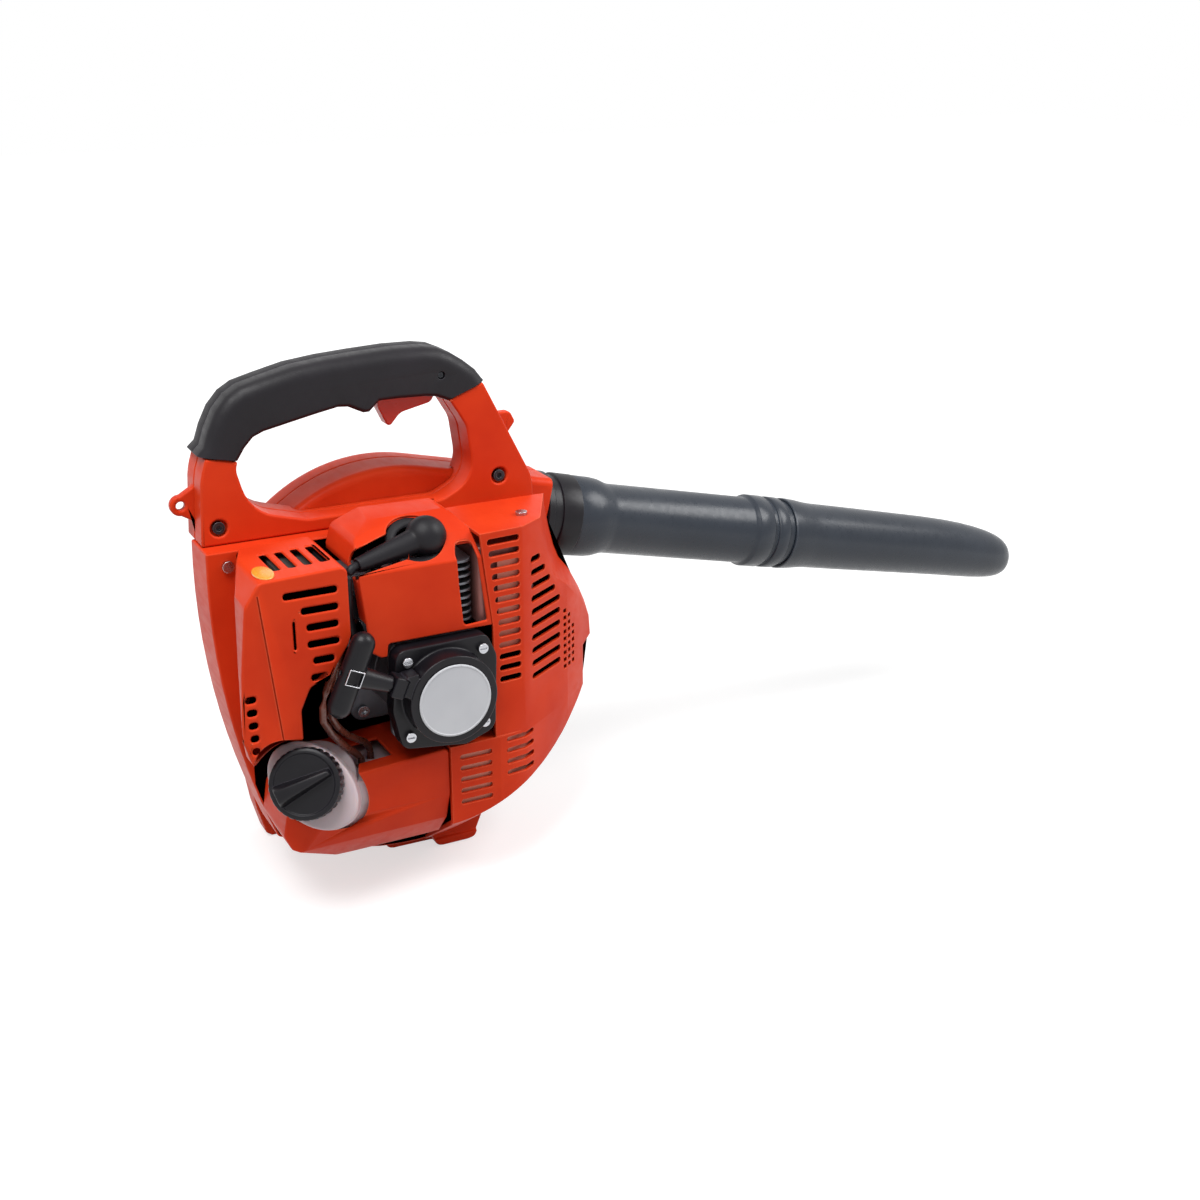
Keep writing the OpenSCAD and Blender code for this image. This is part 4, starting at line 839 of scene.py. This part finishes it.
@dataclass
class EngineShells:
    """Louvred exhaust cover, cylinder cover and what lies behind them."""

    edge_mm: float = 0.35
    folds: tuple[tuple[str, float], ...] = (("X", 10.5), ("X", 43.0), ("Z", 112.0))
    sheet_mm: float = 0.8
    sheet_edge: float = 0.25
    plates: tuple[Plate, ...] = (Plate((56.0, -71.9, 207.0), 21.0, 70.0, 5.2),
                                 Plate((24.0, -74.8, 85.5), 27.0, 42.0, 0.0),
                                 Plate((63.0, -68.6, 94.0), 28.0, 35.0, 22.0))
    # black rubber ring round the plug cap: partly a seal, partly painted shade of the recess there
    seal_and_shade_at: Point = (-7.0, -60.0, 262.0)
    seal_and_shade_lean: float = 38.0
    seal_and_shade_r: float = 19.2
    seal_and_shade_bore: float = 12.5

    def sheets(self) -> None:
        """Cuts the flat heat plates that show through the slots."""
        for number, sheet in enumerate(self.plates, 1):
            half, tall = sheet.width / 2, sheet.height / 2
            outline = [(-half, -tall), (half, -tall), (half, tall), (-half, tall)]
            piece = plate("heat_plate_%d" % number, outline, 0, self.sheet_mm)
            applied(piece, "BEVEL", width=self.sheet_edge, segments=2)
            settle(piece, frame_at(sheet.at, (sheet.turn_deg, "Z")))
            # the plates' pale salmon finish is painted light that stands in for light between the shells
            hand_in(smoothed(piece), "engine_cover", slot="heat_plate", extra=True)

    def seal_and_shade(self) -> None:
        """Turns the black rubber seal round the plug cap; its black is also painted shade of the recess
        round the cap.
        """
        r, bore = self.seal_and_shade_r, self.seal_and_shade_bore
        ring = turned("plug_seal_and_shade", [(bore, -9), (r - 0.6, -9), (r, -8.4), (r, -6.6), (r - 0.8, -6),
                                    (bore + 1.5, -6.4), (bore, -7.5), (bore, -9)], 72)
        settle(ring, frame_at(self.seal_and_shade_at, (self.seal_and_shade_lean, "X")))
        hand_in(smoothed(ring), "cylinder_cover", slot="black_rubber", extra=True)

    def build(self) -> None:
        """Rounds both covers and paints the engine under them."""
        exhaust = softened("exhaust_cover", "engine_cover", width_mm=self.edge_mm, cuts=self.folds)
        hand_in(exhaust, "engine_cover")
        hand_in(softened("cylinder_shell", "cylinder_cover", width_mm=1.1, segments=3), "cylinder_cover")
        self.sheets()
        self.seal_and_shade()
        hand_in(softened("muffler_can", "muffler", width_mm=1.2, segments=3), "muffler")
        hand_in(softened("finned_cylinder", "engine_cylinder", width_mm=0.4), "engine_cylinder")
        for node in ("crankcase_front", "crankcase_rear", "carburettor", "insulator_block"):
            hand_in(softened(node + "_casting", node, width_mm=0.8), node)
        paint("piston", "wrist_pin", "crankshaft", "main_bearings", "flywheel", "ratchet_hub",
              "ignition_coil", "impeller", "fan_nut", "engine_bolts", "case_screws", "cover_screws",
              "choke_lever")
        hand_in(moulded("primer_dome", "primer_bulb", voxel_mm=0.6, rounds=3), "primer_bulb")


@dataclass
class Ignition:
    """Spark plug with its rubber cap and lead."""

    ball_at: Point = (1.0, -57.3, 259.3)
    ball_r: float = 14.0

    def build(self) -> None:
        """Fuses the rubber cap and smooths the lead."""
        cap = moulded("plug_cap", "plug_boot", voxel_mm=0.7, rounds=9, ball=(self.ball_at, self.ball_r))
        hand_in(cap, "plug_boot")
        hand_in(moulded("plug_lead", "ht_lead", voxel_mm=0.6, rounds=5), "ht_lead")
        paint("spark_plug")


@dataclass
class Starter:
    """Recoil starter with its disc, pull grip and rope."""

    disc_at: Point = (0.0, -101.5, 158.0)
    disc_r: float = 25.5
    pull_at: Point = (-68.0, -94.0, 186.8)
    pull_turn: float = 204.0
    window_r: float = 7.2
    window_wire: float = 0.55
    window_out: float = 7.4
    rope_r: float = 1.85
    rope_span: tuple[float, float] = (-33.0, 1.5)
    rope_slack: tuple[float, float] = (-32.5, -28.0)
    rope_step: float = 0.5

    def rope(self) -> None:
        """Draws the rope from the guide to the pull grip."""
        low, high = self.rope_span
        rings = round((high - low) / self.rope_step)
        run = [(self.rope_r, low + i * self.rope_step) for i in range(rings + 1)]
        rope = turned("rope_run", [(0.3, low), *run, (0.3, high)], 16)
        place = frame_at(self.pull_at, (self.pull_turn + 90, "Y"))
        settle(smoothed(rope), place)
        slot = slot_of["starter_rope"]
        rope.data.materials.append(painter.material(slot))
        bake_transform(rope)
        log.info("piece %s: %d faces, from case to pull_grip, %s", rope.name, len(rope.data.polygons), slot)

    def build(self) -> None:
        """Builds the starter."""
        hand_in(softened("starter_shell", "starter_housing", width_mm=1.2, segments=3), "starter_housing")
        r = self.disc_r
        disc = turned("starter_disc", [(0.5, 0.1), (r - 0.7, 0.1), (r, 0.5), (r, 1.1), (r - 0.5, 1.45),
                                       (r - 1.2, 1.5), (r - 1.6, 1.2), (r - 2.2, 1.2), (0.5, 1.25)], 128)
        settle(disc, frame_at(self.disc_at, (90, "X")))
        hand_in(smoothed(disc, 35), "starter_badge")
        hand_in(moulded("pull_grip_body", "starter_grip", voxel_mm=0.7, rounds=6), "starter_grip")
        bpy.ops.mesh.primitive_torus_add(major_segments=4, minor_segments=12, major_radius=self.window_r,
                                         minor_radius=self.window_wire)
        rim = bpy.context.object
        rim.name = "pull_grip_window"
        front = frame_at((0, -self.window_out, 0), (90, "X"), (45, "Z"))
        settle(rim, frame_at(self.pull_at, (self.pull_turn, "Y")) @ front)
        hand_in(smoothed(rim, 30), "starter_grip", slot="bright_steel", extra=True)
        hand_in(softened("screws_of_starter", "starter_screws", width_mm=0.35), "starter_screws")
        paint("starter_reel", "recoil_spring", "starter_rope")
        self.rope()


@dataclass
class FuelSystem:
    """Tank, its shroud, cap and hoses."""

    cap_at: Point = (-106.0, -96.0, 118.0)
    cap_radius: float = 24.0
    cap_height: float = 20.0
    bar_height: float = 6.0
    bar_turn: float = 117.0
    long_turn: float = 48.8
    offset: float = 3.0
    ribs: int = 30
    rib_steps: int = 6
    rib_deep: float = 0.9
    mouth_r: float = 19.4
    bar_half: float = 8.5
    bar_taper: float = 0.35
    bar_top: tuple[float, float] = (0.93, 0.5)
    bar_edge: float = 1.3
    neck_yaw: float = -119.4
    neck_lean: float = 66.4
    shoulder_half: tuple[float, float] = (34.5, 24.0)
    shoulder_span: tuple[float, float] = (-34.0, -21.6)
    room_half: tuple[float, float] = (36.5, 26.0)
    room_span: tuple[float, float] = (-60.0, 12.0)

    RING = [(19.7, -46), (28.5, -46), (28.5, -21), (19.7, -21), (19.7, -46)]

    def cap(self) -> bpy.types.Object:
        """Models the ribbed cap with its finger bar.

        Returns:
            The cap in its place.
        """
        r, low, top, mouth = self.cap_radius, -self.cap_height, -self.bar_height, self.mouth_r
        sides = self.ribs * self.rib_steps
        body = turned("cap_body", [(mouth, low), (r - 1, low), (r, low + 1), (r, top - 2.2),
                                   (r - 0.6, top - 0.8), (r - 2, top), (r - 3.4, top),
                                   (r - 4.4, top - 0.8), (0.5, top - 0.8), (0.5, -10.2), (mouth, -10.2),
                                   (mouth, low)], sides)
        for vertex in body.data.vertices:
            radius = math.hypot(vertex.co.x, vertex.co.y)
            if radius > r - 0.2 and low + 1.5 < vertex.co.z + 1 < top:
                turn = math.atan2(vertex.co.y, vertex.co.x) / (2 * math.pi)
                step = round(turn * sides) % self.rib_steps
                shrink = (radius - self.rib_deep) / radius if step in (0, 1) else 1
                vertex.co.x *= shrink
                vertex.co.y *= shrink
        bar = box("cap_bar", (-r + 3.4, -self.bar_half, top - 1.5), (r - 4.6, self.bar_half, -0.2))
        for vertex in bar.data.vertices:
            if vertex.co.x > 0:
                vertex.co.y *= self.bar_taper
            if vertex.co.z > top:
                vertex.co.x *= self.bar_top[0]
                vertex.co.y *= self.bar_top[1]
        applied(bar, "BEVEL", width=self.bar_edge, segments=3)
        whole = joined("fuel_cap_body", smoothed(body, 35), smoothed(bar, 35))
        return settle(whole, self.neck_frame(self.bar_turn))

    def neck_frame(self, turn_deg: float) -> Matrix:
        """Frame of the neck, turned about its own axis."""
        return frame_at(self.cap_at, (self.neck_yaw, "Z"), (self.neck_lean, "Y"), (turn_deg, "Z"))

    def oblong(self, name: str, half: tuple[float, float], span: tuple[float, float]) -> bpy.types.Object:
        """Oblong drum across the neck, offset towards its long side.

        Args:
            name: name of the new object.
            half: half length and half width.
            span: lower and upper end along the neck.

        Returns:
            The drum in its place.
        """
        (length, width), (low, high) = half, span
        drum = turned(name, [(0.5, low), (width, low), (width, high - 1.6), (width - 0.5, high - 0.5),
                             (width - 1.6, high), (0.5, high)], 96)
        place = self.neck_frame(self.long_turn) @ Matrix.Translation((self.offset, 0, 0))
        return settle(drum, place @ Matrix.Diagonal((length / width, 1, 1, 1)))

    def room(self) -> bpy.types.Object:
        """Drum to cut from what stands round the shoulder."""
        return self.oblong("room", self.room_half, self.room_span)

    def tank(self) -> None:
        """Gives the tank its oblong filler shoulder and makes room for it in the shroud."""
        body = softened("tank_body", "fuel_tank", width_mm=1.4, segments=3, angle_deg=30)
        ring = settle(turned("ring", self.RING), self.neck_frame(0))
        carved(body, ring)
        shoulder = self.oblong("shoulder", self.shoulder_half, self.shoulder_span)
        body = smoothed(joined("tank_body", body, shoulder), 35)
        hand_in(body, "fuel_tank")
        shroud = softened("tank_shroud", "lower_shroud", width_mm=1.2, segments=3, angle_deg=30)
        carved(shroud, self.room())
        hand_in(smoothed(shroud, 45), "lower_shroud")

    def build(self) -> None:
        """Builds the fuel system."""
        self.tank()
        hand_in(self.cap(), "fuel_cap")
        hand_in(moulded("fuel_lines", "fuel_hoses", voxel_mm=0.6, rounds=5), "fuel_hoses")
        paint("cap_gasket", "fuel_filter")


@dataclass
class BlowPipe:
    """Collar, blow pipe and nozzle, each turned about the pipe's axis."""

    pitch: float = 12.8
    axis_n: float = 95.0
    axis_y: float = 56.0
    crank_z: float = 158.0
    bend_from: float = 500.0
    bend_over: float = 100.0
    bend_drop: float = 5.0
    sides: int = 128

    COLLAR = [(31.0, 112.3), (32.2, 113.2), (32.2, 118.0), (31.6, 118.6), (29.9, 119.2), (29.9, 125.4),
              (31.4, 126.0), (31.8, 126.8), (31.6, 142.3), (27.6, 142.3), (27.6, 134.4), (27.9, 134.4),
              (27.9, 112.3), (31.0, 112.3)]
    PIPE = [(27.2, 136.3), (27.2, 142.5), (30.9, 142.5), (31.3, 143.2), (31.0, 160.0), (30.2, 166.0),
            (28.0, 173.0), (27.3, 177.0), (27.2, 306.0), (27.7, 308.2), (29.3, 309.6), (29.6, 310.6),
            (29.6, 323.8), (29.1, 324.6), (27.4, 325.2), (27.4, 328.8), (28.9, 329.4), (29.4, 330.2),
            (29.4, 339.2), (28.9, 340.0), (27.4, 340.6), (27.3, 346.0)]
    PIPE_BORE = [(26.6, 346.0), (26.6, 318.0), (25.2, 317.0), (25.2, 136.3)]
    NOZZLE = [(26.2, 320.0), (26.2, 346.3), (28.7, 346.3), (29.4, 347.0), (29.4, 351.0), (28.9, 358.0),
              (27.7, 368.0), (27.2, 376.0), (27.0, 400.0), (26.6, 430.0), (26.1, 465.0), (25.6, 500.0),
              (25.0, 525.0), (24.3, 545.0), (23.2, 562.0), (21.8, 576.0), (20.0, 587.0), (17.8, 594.5),
              (15.6, 598.6), (14.2, 600.0), (13.0, 599.8)]
    NOZZLE_BORE = [(16.0, 594.0), (20.0, 576.0), (22.5, 545.0), (24.0, 500.0), (25.0, 400.0),
                   (24.3, 346.0), (24.3, 320.0)]

    def place(self) -> Matrix:
        """Frame whose Z runs along the pipe from the crank's height."""
        crank = frame_at((0, 0, self.crank_z), (self.pitch, "Y"))
        return crank @ frame_at((0, self.axis_y, self.axis_n), (90, "Y"))

    def tube(self, name: str, outer: Sequence[tuple[float, float]],
             bore: Sequence[tuple[float, float]]) -> bpy.types.Object:
        """Turns a tube from its outer profile and its bore.

        Args:
            name: name of the new object.
            outer: radius and place along the pipe of the outside.
            bore: the same for the inside, from the far end back.

        Returns:
            The tube, in millimetres, in the frame of the pipe.
        """
        return turned(name, [*outer, *bore, outer[0]], self.sides)

    def build(self) -> None:
        """Builds the pipes."""
        collar = settle(turned("outlet_sleeve", self.COLLAR, self.sides), self.place())
        hand_in(smoothed(collar, 40), "outlet_collar")
        pipe = self.tube("blow_pipe_tube", self.PIPE, self.PIPE_BORE)
        hand_in(smoothed(settle(pipe, self.place()), 40), "blow_pipe")
        nozzle = self.tube("nozzle_tube", self.NOZZLE, self.NOZZLE_BORE)
        for vertex in nozzle.data.vertices:
            past = max(0.0, vertex.co.z - self.bend_from) / self.bend_over
            vertex.co.x += self.bend_drop * past ** 2
        hand_in(smoothed(settle(nozzle, self.place()), 40), "nozzle_pipe")


# ---------------------------------------------------------------------- studio
@dataclass(frozen=True)
class Lamp:
    """Soft square light: its place, the point that it faces, its side and its power in watts."""

    name: str
    at: Point
    towards: Point
    size: float
    watts: float


@dataclass
class Studio:
    """White floor and backdrop, soft light from above and the camera."""

    camera_at: Point = (-0.3673, -1.0040, 0.5934)
    azimuth: float = -27.8
    elevation: float = 20.6
    lens_mm: float = 48.0
    sensor_mm: float = 36.0
    world_light: float = 0.40
    floor_size: float = 12.0
    floor_z: float = -0.0004
    floor_grey: float = 0.5
    floor_light: float = 0.05
    near_glow: float = 0.62
    near: float = 0.5
    far: float = 1.7
    lamps: tuple[Lamp, ...] = (Lamp("key", (-0.55, -0.45, 1.6), (0.0, 0.0, 0.2), 0.9, 24.5),
                               Lamp("side", (1.15, -0.5, 1.25), (0.3, 0.0, 0.18), 0.8, 16.0))

    def camera(self) -> None:
        """Sets up the camera."""
        data = bpy.data.cameras.new("camera")
        data.lens = self.lens_mm
        data.sensor_width = self.sensor_mm
        data.clip_start = 0.01
        camera = bpy.data.objects.new("camera", data)
        a, e = math.radians(self.azimuth), math.radians(self.elevation)
        back = Vector((math.sin(a) * math.cos(e), -math.cos(a) * math.cos(e), math.sin(e)))
        camera.location = self.camera_at
        camera.rotation_mode = "QUATERNION"
        camera.rotation_quaternion = (-back).to_track_quat("-Z", "Y")
        bpy.context.scene.collection.objects.link(camera)
        bpy.context.scene.camera = camera

    @staticmethod
    def seen(tree: bpy.types.NodeTree) -> bpy.types.NodeSocket:
        """Tells rays that show a background from those that light the object.

        Args:
            tree: node tree to add to.

        Returns:
            A socket that is 1 for camera, glossy and transmission rays.
        """
        path = add_node(tree, "LightPath")
        first = add_node(tree, "Math", {0: path.outputs["Is Camera Ray"], 1: path.outputs["Is Glossy Ray"]},
                         operation="MAXIMUM")
        return add_node(tree, "Math", {0: first.outputs[0], 1: path.outputs["Is Transmission Ray"]},
                        operation="MAXIMUM").outputs[0]

    def world(self) -> None:
        """White background with a softer light of its own."""
        world = bpy.data.worlds.new("world")
        bpy.context.scene.world = world
        world.use_nodes = True
        tree = world.node_tree
        strength = add_node(tree, "MapRange", {"Value": self.seen(tree), "To Min": self.world_light,
                                               "To Max": 1.0})
        background = tree.nodes["Background"]
        background.inputs["Color"].default_value = (1, 1, 1, 1)
        tree.links.new(strength.outputs["Result"], background.inputs["Strength"])

    def floor(self) -> None:
        """Pale floor that keeps the shadow."""
        bpy.ops.mesh.primitive_plane_add(size=self.floor_size, location=(0, 0, self.floor_z))
        floor = bpy.context.object
        floor.name = "floor"
        material = bpy.data.materials.new("floor_white")
        material.use_nodes = True
        tree = material.node_tree
        tree.nodes.remove(tree.nodes["Principled BSDF"])
        place = add_node(tree, "TexCoord").outputs["Object"]
        away = add_node(tree, "VectorMath", {0: place}, operation="LENGTH")
        far = add_node(tree, "MapRange", {"Value": away.outputs["Value"], "From Min": self.near,
                                          "From Max": self.far, "To Min": self.near_glow, "To Max": 1.0},
                       interpolation_type="SMOOTHSTEP")
        matt = add_node(tree, "BsdfDiffuse", {"Color": (self.floor_grey,) * 3 + (1,)})
        strength = add_node(tree, "MapRange", {"Value": self.seen(tree), "To Min": self.floor_light,
                                               "To Max": far.outputs["Result"]})
        glow = add_node(tree, "Emission", {"Color": (1, 1, 1, 1), "Strength": strength.outputs["Result"]})
        both = add_node(tree, "AddShader")
        tree.links.new(matt.outputs[0], both.inputs[0])
        tree.links.new(glow.outputs[0], both.inputs[1])
        tree.links.new(both.outputs[0], tree.nodes["Material Output"].inputs["Surface"])
        floor.data.materials.append(material)

    @staticmethod
    def light(lamp: Lamp) -> None:
        """Adds one soft area light.

        Args:
            lamp: the light's name, place and power.
        """
        data = bpy.data.lights.new(lamp.name, "AREA")
        data.size = lamp.size
        data.energy = lamp.watts
        light = bpy.data.objects.new(lamp.name, data)
        light.location = lamp.at
        light.rotation_mode = "QUATERNION"
        light.rotation_quaternion = (Vector(lamp.towards) - Vector(lamp.at)).to_track_quat("-Z", "Y")
        bpy.context.scene.collection.objects.link(light)

    def build(self) -> None:
        """Sets the stage."""
        self.camera()
        self.world()
        self.floor()
        for lamp in self.lamps:
            self.light(lamp)
        bpy.context.scene.view_settings.view_transform = "Standard"


def main() -> None:
    """Builds every sub-assembly and the studio."""
    parts: list[Assembly] = [Housing(), Handle(), AirCleaner(), EngineShells(), Ignition(), Starter(),
                             FuelSystem(), BlowPipe(), Studio()]
    for part in parts:
        log.info("building %s", type(part).__name__)
        part.build()


if __name__ == "__main__":
    main()
